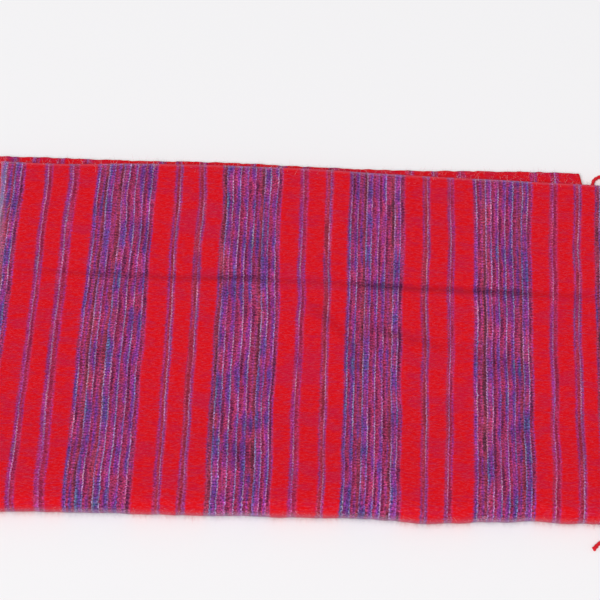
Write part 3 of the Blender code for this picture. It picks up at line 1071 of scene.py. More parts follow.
def new_tree(name: str, values: dict[str, float | int | Material]) -> tuple[Tree, dict[str, Socket]]:
    """Starts a tree of geometry nodes.

    Args:
        name: the tree's name.
        values: the value of each named input after the geometry, which says what kind of input it is.

    Returns:
        The tree and its inputs, by name.
    """
    kinds = ((Material, "NodeSocketMaterial"), (int, "NodeSocketInt"), (float, "NodeSocketFloat"))
    tree = bpy.data.node_groups.new(name, "GeometryNodeTree")
    tree.interface.new_socket("Geometry", in_out="INPUT", socket_type="NodeSocketGeometry")
    for label, value in values.items():
        kind = next(kind for held, kind in kinds if isinstance(value, held))
        tree.interface.new_socket(label, in_out="INPUT", socket_type=kind)
    tree.interface.new_socket("Geometry", in_out="OUTPUT", socket_type="NodeSocketGeometry")
    return tree, dict(add_node(tree, "NodeGroupInput").outputs.items())


def above(add: Adder, geometry: Node, floor: float | Socket) -> Node:
    """Lifts what reaches below the floor on to it.

    Args:
        add: adds a node to the tree.
        geometry: the node whose geometry is lifted.
        floor: the floor's height.

    Returns:
        The node that gives the lifted geometry.
    """
    at = add("GeometryNodeInputPosition")
    x, y, z = add("ShaderNodeSeparateXYZ", (at,)).outputs
    kept = add("ShaderNodeMath", (z, floor), operation="MAXIMUM")
    place = add("ShaderNodeCombineXYZ", (x, y, kept))
    return add("GeometryNodeSetPosition", {"Geometry": geometry, "Position": place})


def close_tree(add: Adder, geometry: Node, material: Socket) -> None:
    """Ends a tree: real geometry, with its material.

    Args:
        add: adds a node to the tree.
        geometry: the node whose geometry it gives.
        material: the input that holds the material.
    """
    real = add("GeometryNodeRealizeInstances", {"Geometry": geometry})
    dressed = add("GeometryNodeSetMaterial", {"Geometry": real, "Material": material})
    add("NodeGroupOutput", {"Geometry": dressed})


def grown(source: Piece, name: str, tree: Tree, values: dict[str, float | int | Material]) -> Piece:
    """Runs a tree of geometry nodes on a piece and keeps what it makes as a plain mesh.

    Args:
        source: the piece that the tree grows from, which is left as it is.
        name: the new piece's name.
        tree: the tree.
        values: the value of each named input.

    Returns:
        The new piece.
    """
    modifier = source.modifiers.new(name, "NODES")
    modifier.node_group = tree
    for item in tree.interface.items_tree:
        if item.item_type == "SOCKET" and item.in_out == "INPUT" and item.name in values:
            modifier[item.identifier] = values[item.name]
    graph = bpy.context.evaluated_depsgraph_get()
    graph.update()
    mesh = bpy.data.meshes.new_from_object(source.evaluated_get(graph), depsgraph=graph)
    source.modifiers.remove(modifier)
    mesh.name = name
    piece = bpy.data.objects.new(name, mesh)
    bpy.context.collection.objects.link(piece)
    return piece


@dataclass(frozen=True)
class Marks:
    """How strong each mark of the cloth is at its places, and over which spans each comes in."""

    # Painted sheen on the rims, for the light that the nap catches where the cloth turns away: at the selvedge on top,
    # at the left fold and round the half fold
    sheen_back: float = 0.5
    sheen_left: float = 0.8
    sheen_front: float = 0.9
    # Standing fuzz: at the selvedge on top, the left fold, the fringed end, the selvedge underneath, and on
    # the rounded selvedges
    fuzz_back: float = 0.05
    fuzz_left: float = 0.4
    fuzz_end: float = 0.3
    fuzz_behind: float = 0.25
    fuzz_edge: float = 0.4
    # Lying nap on the inner panel's face, which shows behind the top
    nap_behind: float = 0.04
    # Distances in from the selvedge on top, the left fold and the fringed end
    back_sheen_span: Span = (0.0002, 0.0032)
    back_fuzz_span: Span = (0.0, 0.010)
    left_span: Span = (0.0005, 0.0035)
    end_span: Span = (-0.006, 0.0)
    # Degrees round the half fold over which a mark comes in and goes
    front_fuzz: tuple[Span, Span] = ((55.0, 95.0), (150.0, 175.0))
    front_sheen: tuple[Span, Span] = ((50.0, 100.0), (120.0, 160.0))
    # Where on the way round the nap ends in front, and where nap and fuzz lie behind the top
    nap_end: float = 0.5
    nap_behind_from: float = 0.9
    fuzz_behind_from: float = 0.995


@dataclass
class FoldedCloth:
    """The whole woven sheet, folded, as one closed mesh of its two faces and its rounded edges."""

    shape: FoldedShape
    chart: StripeChart
    marks: Marks = Marks()
    name: str = "folded_cloth"
    # The cloth runs on over the strip that the fringe's solid stands on
    end_reach: float = 0.0038
    outer_steps: int = 100
    middle_steps: int = 24
    inner_steps: int = 150
    overhang_steps: int = 6
    fold_steps: int = 8
    top_steps: int = 78
    arc_steps: int = 14
    under_steps: int = 22
    round_steps: int = 3
    flat_width: float = 0.90
    flat_length: float = 2.12
    # Along the weft: from the selvedge on top to the half fold, and to the start of the underside
    top_depth: float = 0.430
    fold_depth: float = 0.460
    rim_rows: tuple[float, ...] = (0.0006, 0.0014, 0.0026, 0.0040)
    # The main crease lies between these places on the way round, with the sections closer together
    crease_rows: Span = (0.145, 0.192)
    crease_steps: int = 20
    crease_margin: float = 0.002
    # Stripe edges among a panel's even steps: the way they are placed at, how near its ends they may come,
    # and how much of a step they keep clear
    knot_way: float = 0.3
    knot_span: Span = (0.005, 0.995)
    knot_clearance: float = 0.3
    # The outermost rows of the rounded selvedges keep this share of the thickness
    least_thickness: float = 0.02

    def stations(self) -> np.ndarray:
        """The places on the way round where the sheet is cut into sections.

        Returns:
            The places, from 0 to 1.
        """
        shape = self.shape
        top = np.linspace(0, shape.top_end, self.top_steps + 1)
        finer = np.linspace(*self.crease_rows, self.crease_steps + 1)
        away = (top < finer[0] - self.crease_margin) | (top > finer[-1] + self.crease_margin)
        rim = shape.top_end / self.top_depth * np.array(self.rim_rows)
        top = np.sort(np.concatenate([top[away], finer, rim]))
        arc = np.linspace(shape.top_end, shape.under_start, self.arc_steps + 1)
        under = np.linspace(shape.under_start, 1, self.under_steps + 1)
        return np.concatenate([top, arc[1:], under[1:]])

    def shares(self, steps: int, knots: np.ndarray) -> np.ndarray:
        """Even shares of a panel's length, with the stripes' edges among them.

        Args:
            steps: how many even steps there are.
            knots: x of the stripes' edges.

        Returns:
            The shares in order, from 0 to 1.
        """
        left, right = (self.shape.edges.read(name, self.knot_way) for name in ("left_fold", "right_fold"))
        inside = (knots - left) / (right - left)
        inside = inside[(inside > self.knot_span[0]) & (inside < self.knot_span[1])]
        clear = self.knot_clearance / steps
        even = np.linspace(0, 1, steps + 1)
        far = [share for share in even if np.abs(inside - share).min() > clear or share in (0.0, 1.0)]
        return np.unique(np.concatenate([far, inside]))

    def profile(self, way: float) -> tuple[np.ndarray, np.ndarray, np.ndarray]:
        """The middle of the sheet at one place on the way round, from the inner end to the outer end.

        Args:
            way: the place on the way round.

        Returns:
            Points of (x, height), their stripe counts, and their places along the warp.
        """
        shape, chart = self.shape, self.chart
        low, mid, high = (shape.panel_height(layer) for layer in range(shape.layers))
        radius = shape.layer_step / 2
        left, right = shape.edges.read("left_fold", way), shape.edges.read("right_fold", way)
        start = shape.edges.read("inner_end", way) - self.end_reach
        end = shape.edges.read("outer_end", way) + self.end_reach
        outer_knots, inner_knots = chart.outer_knots(), chart.inner_knots()
        span = right - left - 2 * radius
        inner = left + radius + span * self.shares(self.inner_steps, inner_knots[:, 0])
        inner = np.concatenate([np.linspace(start, shape.inner_sag_from, self.overhang_steps + 1), inner])
        middle = right - radius - span * np.linspace(0, 1, self.middle_steps + 1)
        outer = left + radius + span * self.shares(self.outer_steps, outer_knots[:, 0])
        outer = np.concatenate([outer, np.linspace(right, end, self.overhang_steps + 1)])
        angles = np.linspace(0, math.pi, self.fold_steps + 1)[1:-1]
        right_turn = right - radius + radius * np.sin(angles)
        left_turn = left + radius - radius * np.sin(angles)
        x = np.concatenate([inner, right_turn, middle, left_turn, outer])
        rise = radius * (1 - np.cos(angles))
        heights = [np.full(len(inner), low), low + rise, np.full(len(middle), mid), mid + rise]
        height = np.concatenate([*heights, np.full(len(outer), high)])
        # Unfolded, the panels lie end to end, with the outer one where it is
        hidden = [
            2 * (left - right) + inner,
            2 * left - right - radius * angles,
            2 * left - middle,
            left - radius * (math.pi - angles) + radius,
        ]
        warp = np.concatenate([*hidden, outer])
        charted = chart.slid(warp, min(way / shape.top_end, 1.0))
        count = np.interp(charted, outer_knots[:, 0], outer_knots[:, 1])
        inner_count = np.interp(inner, inner_knots[:, 0], inner_knots[:, 1])
        first = len(inner)
        count[:first] = inner_count
        count[first : first + len(angles)] = inner_count[-1]
        return np.stack([x, height], axis=1), count, warp

    def outline(self, way: float) -> tuple[np.ndarray, ...]:
        """The sheet's closed outline at one place on the way round, round-ended.

        Args:
            way: the place on the way round.

        Returns:
            Offsets (x, height) from the middle, the middle's points, counts and warp places, and the marks of
            the outward face.
        """
        points, count, warp = self.profile(way)
        run = np.gradient(points, axis=0)
        run /= np.linalg.norm(run, axis=1)[:, None]
        normal = np.stack([-run[:, 1], run[:, 0]], axis=1)
        half = self.shape.thickness / 2
        turn = np.linspace(0, math.pi, 2 * self.round_steps + 1)[1:-1]
        far = [half * (math.cos(a) * normal[-1] + math.sin(a) * run[-1]) for a in turn]
        near = [half * (-math.cos(a) * normal[0] - math.sin(a) * run[0]) for a in turn]
        offsets = np.concatenate([normal * half, far, -normal[::-1] * half, near])
        size, ends = len(points), len(turn)
        index = np.concatenate([np.arange(size), np.full(ends, size - 1), np.arange(size)[::-1], np.full(ends, 0)])
        facing = np.concatenate([np.ones(size), np.full(ends, 0.5), np.zeros(size), np.full(ends, 0.5)])
        return offsets, points[index], count[index], warp[index], facing

    def build(self, material: Material) -> Piece:
        """Builds the cloth.

        Args:
            material: the cloth's material.

        Returns:
            The piece, with its weave, rim, nap, fuzz and press attributes and its UV map; the rim attribute sets
            painted sheen and the press attribute sets painted shade.
        """
        half = self.shape.thickness / 2
        angles = np.linspace(0, math.pi / 2, self.round_steps + 1)[1:]
        rows = [(0.0, math.cos(a), -half * math.sin(a)) for a in reversed(angles)]
        rows += [(way, 1.0, 0.0) for way in self.stations()]
        rows += [(1.0, math.cos(a), half * math.sin(a)) for a in angles]
        points, weave, marks = [], [], []
        for way, thick, out in rows:
            offsets, middle, count, warp, facing = self.outline(way)
            thick = max(thick, self.least_thickness)
            spread = middle + offsets * (1, thick) if out else middle + offsets
            placed = self.shape.place(spread[:, 0], spread[:, 1], np.full(len(spread), way), middle[:, 1])
            placed[:, 1] += -out if way < 0.5 else out
            points.append(placed)
            weft = self.weft(way) + out
            weave.append(np.stack([count, np.full(len(count), weft), warp], axis=1))
            marks.append(self.mark(middle, facing, way, placed, bool(out)))
        size = len(points[0])
        faces = []
        for k in range(len(rows) - 1):
            for i in range(size):
                j = (i + 1) % size
                faces.append((k * size + i, (k + 1) * size + i, (k + 1) * size + j, k * size + j))
        faces += self.caps(len(rows), size)
        piece = new_piece(self.name, np.concatenate(points), faces, material)
        piece.data.shade_smooth()
        weave = np.concatenate(weave)
        marks = np.concatenate(marks)
        set_attribute(piece, "weave", weave)
        for column, name in enumerate(("rim", "nap", "fuzz", "press_and_shade")):
            set_attribute(piece, name, marks[:, column])
        layer = piece.data.uv_layers.new(name="UVMap")
        corners = np.empty(len(piece.data.loops), dtype=np.int64)
        piece.data.loops.foreach_get("vertex_index", corners)
        layer.data.foreach_set("uv", weave[corners][:, (2, 1)].astype(np.float32).ravel())
        return piece

    def caps(self, rows: int, size: int) -> list[tuple[int, ...]]:
        """Faces that close the sheet along its two selvedges.

        Args:
            rows: how many outlines there are.
            size: how many points each has.

        Returns:
            The faces of both.
        """
        turn = 2 * self.round_steps - 1
        length = (size - 2 * turn) // 2
        last = (rows - 1) * size
        rings = [(i, i + 1, size - turn - 2 - i, size - turn - 1 - i) for i in range(length - 1)]
        rings += [tuple(range(length - 1, length + turn + 1)), (*range(size - turn - 1, size), 0)]
        faces = []
        for ring in rings:
            faces.append(ring)
            faces.append(tuple(last + corner for corner in reversed(ring)))
        return faces

    def weft(self, way: float) -> float:
        """The place along the weft of a place on the way round.

        Args:
            way: the place on the way round.

        Returns:
            The distance from the selvedge on top.
        """
        ways = (0, self.shape.top_end, self.shape.under_start, 1)
        return float(np.interp(way, ways, (0, self.top_depth, self.fold_depth, self.flat_width)))

    def mark(self, middle: np.ndarray, facing: np.ndarray, way: float, placed: np.ndarray, edge: bool) -> np.ndarray:
        """Marks where the rims take painted sheen, where nap lies, where fuzz stands and where creases press the nap
        down and take painted shade.

        Args:
            middle: (x, height) of the sheet's middle.
            facing: 1 on the outward face, 0 on the inward one and 0.5 on the ends.
            way: the place on the way round.
            placed: the points.
            edge: whether this row is part of a rounded selvedge.

        Returns:
            A column each for rim (painted sheen), nap, fuzz and press (painted shade).
        """
        shape, marks = self.shape, self.marks
        x, height = middle[:, 0], middle[:, 1]
        left, end = (shape.edges.read(name, way) for name in ("left_fold", "outer_end"))
        facing_out = smoothstep((height - shape.panel_height(1)) / (shape.layer_step * 0.4)) * (facing >= 0.5)
        facing_in = (height < shape.panel_height(0) + 1e-6) * (facing <= 0.5)
        top = float(way <= shape.top_end)
        turned = 180 * (way - shape.top_end) / (shape.under_start - shape.top_end)
        fronts = (marks.front_fuzz, marks.front_sheen)
        fuzzy, pale_sheen = (within(start, turned) * (1 - within(stop, turned)) for start, stop in fronts)
        from_back = way / shape.top_end * self.top_depth
        near_left = 1 - within(marks.left_span, x - left)
        near_end = within(marks.end_span, x - end)
        # Painted sheen on the rims: at the selvedge on top, at the left fold and round the half fold
        sheen_back = marks.sheen_back * top * (1 - within(marks.back_sheen_span, from_back))
        fuzz_back = marks.fuzz_back * top * (1 - within(marks.back_fuzz_span, from_back))
        sheen_left = near_left * marks.sheen_left * float(way <= shape.under_start)
        rim = facing_out * np.maximum(np.maximum(sheen_back, sheen_left), marks.sheen_front * pale_sheen)
        # Painted shade in the creases, as strong as they are pressed; the nap also thins there
        press_and_shade = facing_out * top * shape.pressed(placed[:, 0], placed[:, 1])
        behind = facing_in * float(way > marks.nap_behind_from)
        nap = facing_out * float(way <= marks.nap_end) * (1 - press_and_shade) + marks.nap_behind * behind
        sides = np.maximum(near_left * marks.fuzz_left, near_end * marks.fuzz_end) * top
        fuzz = facing_out * np.maximum(sides, max(fuzz_back, fuzzy))
        fuzz = np.maximum(fuzz, marks.fuzz_behind * behind * float(way > marks.fuzz_behind_from))
        if edge:
            fuzz = np.maximum(fuzz, marks.fuzz_edge * facing_out)
        return np.stack([rim, nap, fuzz, press_and_shade], axis=1)


@dataclass
class LooseFibres:
    """Fibres brushed up out of the cloth, as thin tapering strips that bow up from it."""

    name: str
    mark: str
    per_square_metre: float
    length: float
    width: float
    # How far up they point, in radians
    lift: Span
    # How far aside of the warp they point, in radians
    scatter: float
    bow: float
    seed: int
    # The shortest and longest, in shares of the length
    spread: Span = (0.45, 1.25)
    taper: float = 0.7
    # Fibres that reach the floor lie on it
    floor: float = 0.0004

    def tree(self, values: dict[str, float | int | Material]) -> Tree:
        """Builds the tree that scatters the fibres over a piece by one of its marks.

        Args:
            values: the value of each named input.

        Returns:
            The tree.
        """
        tree, give = new_tree(self.name, values)
        add = partial(add_node, tree)
        mark = add("GeometryNodeInputNamedAttribute", {"Name": self.mark}, data_type="FLOAT")
        dense = add("ShaderNodeMath", (mark, give["Per Square Metre"]), operation="MULTIPLY")
        scattered = {"Mesh": give["Geometry"], "Density": dense, "Seed": give["Seed"]}
        spots = add("GeometryNodeDistributePointsOnFaces", scattered)
        low = add("ShaderNodeMath", (give["Scatter"], -1.0), operation="MULTIPLY")
        either_side = {"Min": low, "Max": give["Scatter"], "Seed": 11}
        aside = add("FunctionNodeRandomValue", either_side, data_type="FLOAT")
        back = add("FunctionNodeRandomValue", {"Probability": 0.5, "Seed": 12}, data_type="BOOLEAN")
        way = add("ShaderNodeMath", (back, math.pi, aside), operation="MULTIPLY_ADD")
        ahead = add("ShaderNodeMath", (way,), operation="COSINE")
        across = add("ShaderNodeMath", (way,), operation="SINE")
        axes = {"Primary Axis": spots.outputs["Normal"], "Secondary Axis": add("ShaderNodeCombineXYZ", (ahead, across))}
        stand = add("FunctionNodeAxesToRotation", axes, primary_axis="Z", secondary_axis="X")
        lifts = {"Min": give["Least Lift"], "Max": give["Most Lift"], "Seed": 13}
        up = add("FunctionNodeRandomValue", lifts, data_type="FLOAT")
        down = add("ShaderNodeMath", (up, -1.0), operation="MULTIPLY")
        tilted = add("FunctionNodeEulerToRotation", (add("ShaderNodeCombineXYZ", (0.0, down)),))
        turn = {"Rotation": stand, "Rotate By": tilted}
        turned = add("FunctionNodeRotateRotation", turn, rotation_space="LOCAL")
        lengths = {"Min": self.spread[0], "Max": self.spread[1], "Seed": 14}
        share = add("FunctionNodeRandomValue", lengths, data_type="FLOAT")
        long = add("ShaderNodeMath", (share, give["Length"]), operation="MULTIPLY")
        size = add("ShaderNodeCombineXYZ", (long, give["Width"], long))
        blade = self.blade(add, give["Bow"])
        placed = {"Points": spots.outputs["Points"], "Instance": blade, "Rotation": turned, "Scale": size}
        real = add("GeometryNodeRealizeInstances", {"Geometry": add("GeometryNodeInstanceOnPoints", placed)})
        close_tree(add, above(add, real, give["Floor"]), give["Material"])
        return tree

    def blade(self, add: Adder, bow: Socket) -> Node:
        """One fibre, a unit long and wide: three short faces that taper to the tip and bow.

        Args:
            add: adds a node to the tree.
            bow: how high its tip stands.

        Returns:
            The node that gives its mesh.
        """
        sheet = add("GeometryNodeMeshGrid", {"Size X": 1.0, "Size Y": 1.0, "Vertices X": 4, "Vertices Y": 2})
        x, y, _ = add("ShaderNodeSeparateXYZ", (add("GeometryNodeInputPosition"),)).outputs
        along = add("ShaderNodeMath", (x, 0.5), operation="ADD")
        squared = add("ShaderNodeMath", (along, along), operation="MULTIPLY")
        raised = add("ShaderNodeMath", (squared, bow), operation="MULTIPLY")
        taper = add("ShaderNodeMath", (along, -self.taper, 1.0), operation="MULTIPLY_ADD")
        wide = add("ShaderNodeMath", (y, taper), operation="MULTIPLY")
        place = add("ShaderNodeCombineXYZ", (along, wide, raised))
        return add("GeometryNodeSetPosition", {"Geometry": sheet, "Position": place})

    def build(self, cloth: Piece, material: Material) -> Piece:
        """Grows the fibres out of the cloth.

        Args:
            cloth: the cloth's piece.
            material: the fibres' material.

        Returns:
            The fibres as one piece.
        """
        values = {
            "Per Square Metre": self.per_square_metre,
            "Length": self.length,
            "Width": self.width,
            "Least Lift": self.lift[0],
            "Most Lift": self.lift[1],
            "Scatter": self.scatter,
            "Bow": self.bow,
            "Floor": self.floor,
            "Seed": self.seed,
            "Material": material,
        }
        return grown(cloth, self.name, self.tree(values), values)


@dataclass
class CordFringe:
    """The twisted fringe of one warp end, laid along the same lines as its solid's strands."""

    shape: FoldedShape
    side: Side
    name: str
    node: str
    # The column of the shape's edges that it stands on, and the layer that it belongs to
    end: str
    layer: int
    # Degrees round the half fold of the strands there, and the route of each that has one of its own
    round_front: tuple[tuple[float, Route | None], ...]
    last: Route | None
    seed: int
    pitch: float = 0.0125
    first_above: float = 0.5
    first_below: float = 1.0
    back_margin: float = 0.25
    length: float = 0.088
    cord_width: float = 0.0048
    clearance: float = 0.0003
    # The plies' bulges reach a little past the cord's width
    ply_spare: float = 0.00065
    strip: float = 0.0038
    # How far a cord starts inside the cloth
    tuck: float = 0.003
    steps: int = 60
    upper_landing: float = 0.45
    lower_landing: float = 0.24
    turned_by: float = 0.45
    turn_back: float = 0.5
    spread: float = 0.02
    # A cord has its full width after this share of its length
    widened_by: float = 1 / 9
    # The shortest cord's share of the full length
    shortest: float = 0.95
    # Leaning of neighbouring strands: size, pace in radians a metre, and starts of the rows above and below
    lean_waves: tuple[Remap, ...] = ((0.11, 20.0, 0.6, 2.4), (0.04, 49.0, 1.9, 0.0))
    twist_length: float = 0.0085
    ply_sides: int = 6
    rings: int = 58
    # Girth at the root and at the flared tip, by the share of the cord's length
    root_girth: Remap = (0.0, 0.11, 0.62, 1.0)
    tip_girth: Remap = (0.90, 1.0, 1.0, 1.25)
    # A ply's radius and how far out its middle goes round, in shares of the cord's width
    ply_radius: float = 0.28
    ply_orbit: float = 0.22
    # How far apart the cords' colours are read
    colour_step: float = 0.3

    def depths(self) -> tuple[float, float]:
        """How far the top and the underside of the fringe's own edge reach back from the front fold.

        Returns:
            The two depths.
        """
        shape = self.shape
        x = shape.edges.read(self.end, 0.5)
        front = shape.fronts.read("y", x)
        top = shape.backs.read("top", x) - shape.top_setback * (1 - self.layer / 2) - front
        return top, shape.backs.read("under", x) - shape.under_setback * self.layer / 2 - front

    def places(self) -> list[tuple[float, bool, Route | None]]:
        """Where the strands stand: the row above, those round the front, and the row below.

        Returns:
            For each strand its way, whether it lies in the upper row, and its own route if it has one.
        """
        shape = self.shape
        top, under = self.depths()
        upper = np.arange(self.first_above, top / self.pitch - self.back_margin) * self.pitch / top
        lower = np.arange(self.first_below, under / self.pitch - self.back_margin) * self.pitch / under
        arc = shape.under_start - shape.top_end
        rows = [(shape.top_end * (1 - share), True, None) for share in reversed(upper)]
        rows += [(shape.top_end + arc * angle / 180, angle < 90, route) for angle, route in self.round_front]
        rows += [(shape.under_start + (1 - shape.under_start) * share, False, None) for share in lower]
        rows[-1] = (*rows[-1][:2], self.last)
        return rows

    def heading(self, y: float, upper: bool, spare: float) -> float:
        """The direction that a strand settles to.

        Args:
            y: where it leaves the cloth.
            upper: whether it lies in the upper row.
            spare: its own part, from -1 to 1.

        Returns:
            The direction in radians from square.
        """
        leans = (
            size * math.sin(per_metre * y + (above if upper else below))
            for size, per_metre, above, below in self.lean_waves
        )
        return self.spread * spare + sum(leans)

    def free_line(self, root: np.ndarray, heading: float, landing: float, rest: float, length: float) -> np.ndarray:
        """The underside of a strand that falls from its root and lies straight on.

        Args:
            root: where it leaves the cloth.
            heading: the direction that it settles to.
            landing: the share of its length by which it has come down.
            rest: the height that it comes to rest at.
            length: its length.

        Returns:
            Its points.
        """
        points = [root]
        step = length / self.steps
        for k in range(1, self.steps + 1):
            share = k / self.steps
            turned = heading * (smoothstep(share / self.turned_by) - self.turn_back * smoothstep(2 * share - 1))
            z = root[2] + (rest - root[2]) * smoothstep(share / landing)
            flat = math.sqrt(max(step**2 - (z - points[-1][2]) ** 2, 0))
            x = points[-1][0] + self.side.value * flat * math.cos(turned)
            points.append(np.array((x, points[-1][1] + flat * math.sin(turned), z)))
        return np.array(points)

    def routed_line(self, root: np.ndarray, route: Route) -> np.ndarray:
        """The underside of a strand that lies along a route of its own on the floor.

        Args:
            root: where it leaves the cloth.
            route: the places that it passes.

        Returns:
            Its points.
        """
        knots = np.array([root[:2], *route])
        places = np.concatenate([[0], np.cumsum(np.linalg.norm(np.diff(knots, axis=0), axis=1))])
        table = SizeTable(("share", "x", "y"), tuple(map(tuple, np.column_stack([places / places[-1], knots]))))
        shares = np.linspace(0, 1, self.steps + 1)
        z = root[2] * (1 - smoothstep(shares / self.lower_landing))
        return np.column_stack([table.read("x", shares), table.read("y", shares), z])

    def root(self, way: float) -> np.ndarray:
        """Where a strand leaves the strip at the cloth's end, at its lowest.

        Args:
            way: the strand's place on the way round.

        Returns:
            The point.
        """
        shape = self.shape
        middle = shape.panel_height(self.layer)
        x = shape.edges.read(self.end, way) + self.side.value * self.strip
        heights = middle + np.array([-0.5, 0.5]) * shape.thickness
        corners = shape.place(np.full(2, x), heights, np.full(2, way), np.full(2, middle))
        return np.array([*corners.mean(axis=0)[:2], corners[:, 2].min()])

    def lines(self) -> list[np.ndarray]:
        """The middle line of every cord.

        Returns:
            Its points, for each cord.
        """
        random = np.random.default_rng(self.seed)
        thickness = self.shape.thickness
        made = []
        for way, upper, route in self.places():
            root = self.root(way)
            heading = self.heading(root[1], upper, random.uniform(-1, 1))
            length = self.length * random.uniform(self.shortest, 1)
            if route:
                line = self.routed_line(root, route)
            else:
                landing = self.upper_landing if upper else self.lower_landing
                rest = self.cord_width + self.clearance if upper else 0.0
                line = self.free_line(root, heading, landing, rest, length)
            widened = smoothstep(np.linspace(0, 1, len(line)) / self.widened_by)
            line[:, 2] += 0.5 * (thickness + (self.cord_width - thickness) * widened) + self.ply_spare * widened
            inward = line[0] - (self.side.value * self.tuck, 0, 0)
            made.append(np.concatenate([[inward], line]))
        return made

    def tree(self, values: dict[str, float | int | Material]) -> Tree:
        """Builds the tree that twists two plies round each line.

        Args:
            values: the value of each named input.

        Returns:
            The tree.
        """
        tree, give = new_tree(self.name + "_twist", values)
        add = partial(add_node, tree)
        curve = add("GeometryNodeMeshToCurve", {"Mesh": give["Geometry"]})
        even = add("GeometryNodeResampleCurve", {"Curve": curve, "Count": give["Rings"]})
        spline = add("GeometryNodeSplineParameter")
        own = add("GeometryNodeInputNamedAttribute", {"Name": "turn"}, data_type="FLOAT")
        rate = add("ShaderNodeMath", (2 * math.pi, give["Twist Length"]), operation="DIVIDE")
        angle = add("ShaderNodeMath", (spline.outputs["Length"], rate, own), operation="MULTIPLY_ADD")
        normal = add("GeometryNodeInputNormal")
        tangent = add("GeometryNodeInputTangent")
        side = add("ShaderNodeVectorMath", (tangent, normal), operation="CROSS_PRODUCT")
        thick = add("ShaderNodeMapRange", (spline.outputs["Factor"], *self.root_girth))
        tip = add("ShaderNodeMapRange", (spline.outputs["Factor"], *self.tip_girth))
        girth = add("ShaderNodeMath", (thick, tip), operation="MULTIPLY")
        out = add("ShaderNodeMath", (give["Cord Width"], self.ply_orbit), operation="MULTIPLY")
        orbit = add("ShaderNodeMath", (out, girth), operation="MULTIPLY")
        thin = add("ShaderNodeMath", (give["Cord Width"], self.ply_radius), operation="MULTIPLY")
        radius = add("ShaderNodeMath", (thin, girth), operation="MULTIPLY")
        circle = add("GeometryNodeCurvePrimitiveCircle", {"Resolution": give["Sides"], "Radius": 1.0})
        joined = add("GeometryNodeJoinGeometry")
        for start in (0.0, math.pi):
            turned = add("ShaderNodeMath", (angle, start), operation="ADD")
            cosine = add("ShaderNodeMath", (turned,), operation="COSINE")
            sine = add("ShaderNodeMath", (turned,), operation="SINE")
            one = add("ShaderNodeVectorMath", {0: normal, "Scale": cosine}, operation="SCALE")
            other = add("ShaderNodeVectorMath", {0: side, "Scale": sine}, operation="SCALE")
            both = add("ShaderNodeVectorMath", (one, other), operation="ADD")
            offset = add("ShaderNodeVectorMath", {0: both, "Scale": orbit}, operation="SCALE")
            moved = add("GeometryNodeSetPosition", {"Geometry": even, "Offset": offset})
            wound = {"Curve": moved, "Profile Curve": circle, "Scale": radius, "Fill Caps": True}
            set_inputs(tree, joined, (add("GeometryNodeCurveToMesh", wound),))
        smooth = add("GeometryNodeSetShadeSmooth", {"Geometry": above(add, joined, 0.0)})
        close_tree(add, smooth, give["Material"])
        return tree

    def build(self, material: Material) -> Piece:
        """Builds the fringe's cords.

        Args:
            material: the cords' material.

        Returns:
            The cords as one piece.
        """
        lines = self.lines()
        pairs, turns, places, start = [], [], [], 0
        random = np.random.default_rng(self.seed + TURN_SEED)
        for number, line in enumerate(lines):
            pairs += [(start + k, start + k + 1) for k in range(len(line) - 1)]
            start += len(line)
            turns += [random.uniform(0, 2 * math.pi)] * len(line)
            places += [(along, self.colour_step * number, 0.0) for along in np.linspace(0, self.length, len(line))]
        guide = new_piece(self.name + "_lines", np.concatenate(lines), pairs, None)
        set_attribute(guide, "turn", np.array(turns))
        set_attribute(guide, "cord", np.array(places))
        values = {
            "Cord Width": self.cord_width,
            "Twist Length": self.twist_length,
            "Rings": self.rings,
            "Sides": self.ply_sides,
            "Material": material,
        }
        piece = grown(guide, self.name, self.tree(values), values)
        bpy.data.objects.remove(guide)
        return piece


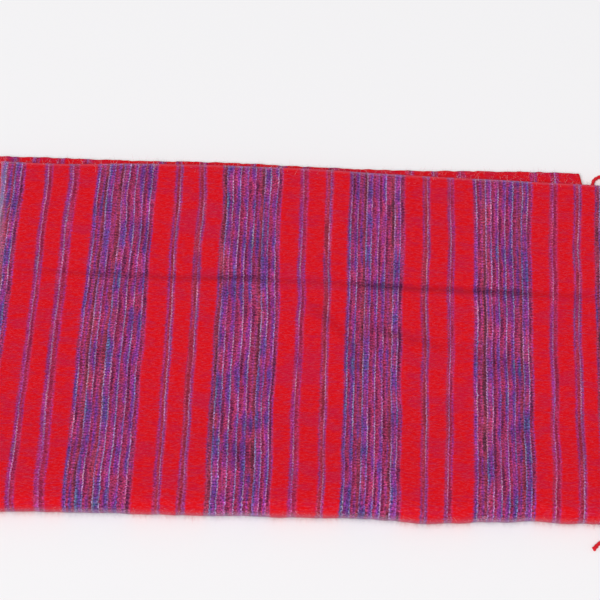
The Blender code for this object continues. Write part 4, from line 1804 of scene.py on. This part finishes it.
@dataclass
class Studio:
    """Plain pale floor, soft light from all round and the camera at the photograph's angle."""

    # The camera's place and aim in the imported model's frame
    eye: Point = (0.0700, -1.0872, 2.2056)
    target: Point = (0.0184, 0.0494, 0.0200)
    lens: float = 128.58
    sensor: float = 36.0
    sight: float = 100.0
    floor_size: float = 30.0
    floor_colour: str = "#F3F2F3"
    sky_colour: str = "#FDFDFF"
    sky: float = 0.38
    # Power in watts, length of side and place of the one large soft light
    power: float = 3300.0
    light_size: float = 10.0
    light_place: Point = (-4.0, -9.0, 18.0)

    def build(self) -> None:
        """Builds the floor, the sky, the light and the camera."""
        scene = bpy.context.scene
        scene.view_settings.view_transform = "Standard"
        half = self.floor_size / 2
        mesh = bpy.data.meshes.new("floor")
        mesh.from_pydata([(-half, -half, 0), (half, -half, 0), (half, half, 0), (-half, half, 0)], [], [(0, 1, 2, 3)])
        floor = bpy.data.objects.new("floor", mesh)
        bpy.context.collection.objects.link(floor)
        paper = bpy.data.materials.new("matt_white_paper")
        paper.use_nodes = True
        tree = paper.node_tree
        looks = {"Base Color": linear(self.floor_colour), "Roughness": 1.0, "Specular IOR Level": 0.0}
        set_inputs(tree, tree.nodes["Principled BSDF"], looks)
        mesh.materials.append(paper)
        world = bpy.data.worlds.new("soft_white_room")
        world.use_nodes = True
        tree = world.node_tree
        set_inputs(tree, tree.nodes["Background"], {"Color": linear(self.sky_colour), "Strength": self.sky})
        scene.world = world
        light = bpy.data.lights.new("softbox_0", "AREA")
        light.energy = self.power
        light.size = self.light_size
        self.aimed(light, self.light_place)
        view = bpy.data.cameras.new("camera")
        view.lens = self.lens
        view.sensor_width = self.sensor
        view.clip_end = self.sight
        scene.camera = self.aimed(view, self.eye)

    def aimed(self, data: bpy.types.Light | bpy.types.Camera, place: Point) -> Piece:
        """Stands a light or a camera in its place, looking at the blanket.

        Args:
            data: the light or the camera.
            place: where it stands.

        Returns:
            The object, linked to the scene.
        """
        made = bpy.data.objects.new(data.name, data)
        made.location = place
        made.rotation_euler = (Vector(self.target) - Vector(place)).to_track_quat("-Z", "Y").to_euler()
        bpy.context.collection.objects.link(made)
        return made


def settle(piece: Piece, nodes: tuple[str, ...]) -> None:
    """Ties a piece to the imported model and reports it.

    Args:
        piece: the piece.
        nodes: the solids that it stands for.
    """
    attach(piece, ROOT)
    if nodes:
        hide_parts(*nodes)
    LOG.info("%s: %d triangles", piece.name, triangles(piece))


def main() -> None:
    """Builds the studio, the cloth, its fibres and its two fringes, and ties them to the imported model."""
    logging.basicConfig(level=logging.INFO, format="%(name)s: %(message)s")
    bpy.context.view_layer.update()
    Studio().build()
    shape = FoldedShape()
    weave = StripeWeave().build()
    cloth = FoldedCloth(shape, StripeChart())
    sheet = cloth.build(BrushedWool(weave).build())
    nap = LooseFibres(
        name="lying_nap",
        mark="nap",
        per_square_metre=90000.0,
        length=0.0075,
        width=0.00016,
        lift=(0.03, 0.20),
        scatter=0.5,
        bow=0.05,
        seed=3,
    )
    # The loose fibres' pale pink and pale lilac are painted sheen mixed into the weave's colour
    lying = nap.build(sheet, LooseWool(weave, "lying_wool_fibre", "#E890B0", (0.16, 0.16)).build())
    fuzz = LooseFibres(
        name="rim_fuzz",
        mark="fuzz",
        per_square_metre=380000.0,
        length=0.0070,
        width=0.00018,
        lift=(0.2, 1.2),
        scatter=1.3,
        bow=0.3,
        seed=4,
    )
    standing = fuzz.build(sheet, LooseWool(weave, "standing_wool_fibre", "#E6E2EE", (0.45, 0.82)).build())
    twisted = TwistedWool().build()
    right = CordFringe(
        shape=shape,
        side=Side.RIGHT,
        name="fringe_cords_right",
        node="fringe_right",
        end="outer_end",
        layer=2,
        round_front=((40, None), (95, FRONT_STRAY)),
        last=BACK_STRAY,
        seed=5,
    )
    left = CordFringe(
        shape=shape,
        side=Side.LEFT,
        name="fringe_cords_left",
        node="fringe_left",
        end="inner_end",
        layer=0,
        round_front=((90, None),),
        last=None,
        seed=8,
    )
    for fringe in (right, left):
        piece = fringe.build(twisted)
        settle(piece, (fringe.node,))
    settle(sheet, ("woven_cloth",))
    settle(lying, ())
    settle(standing, ())


if __name__ == "__main__":
    main()
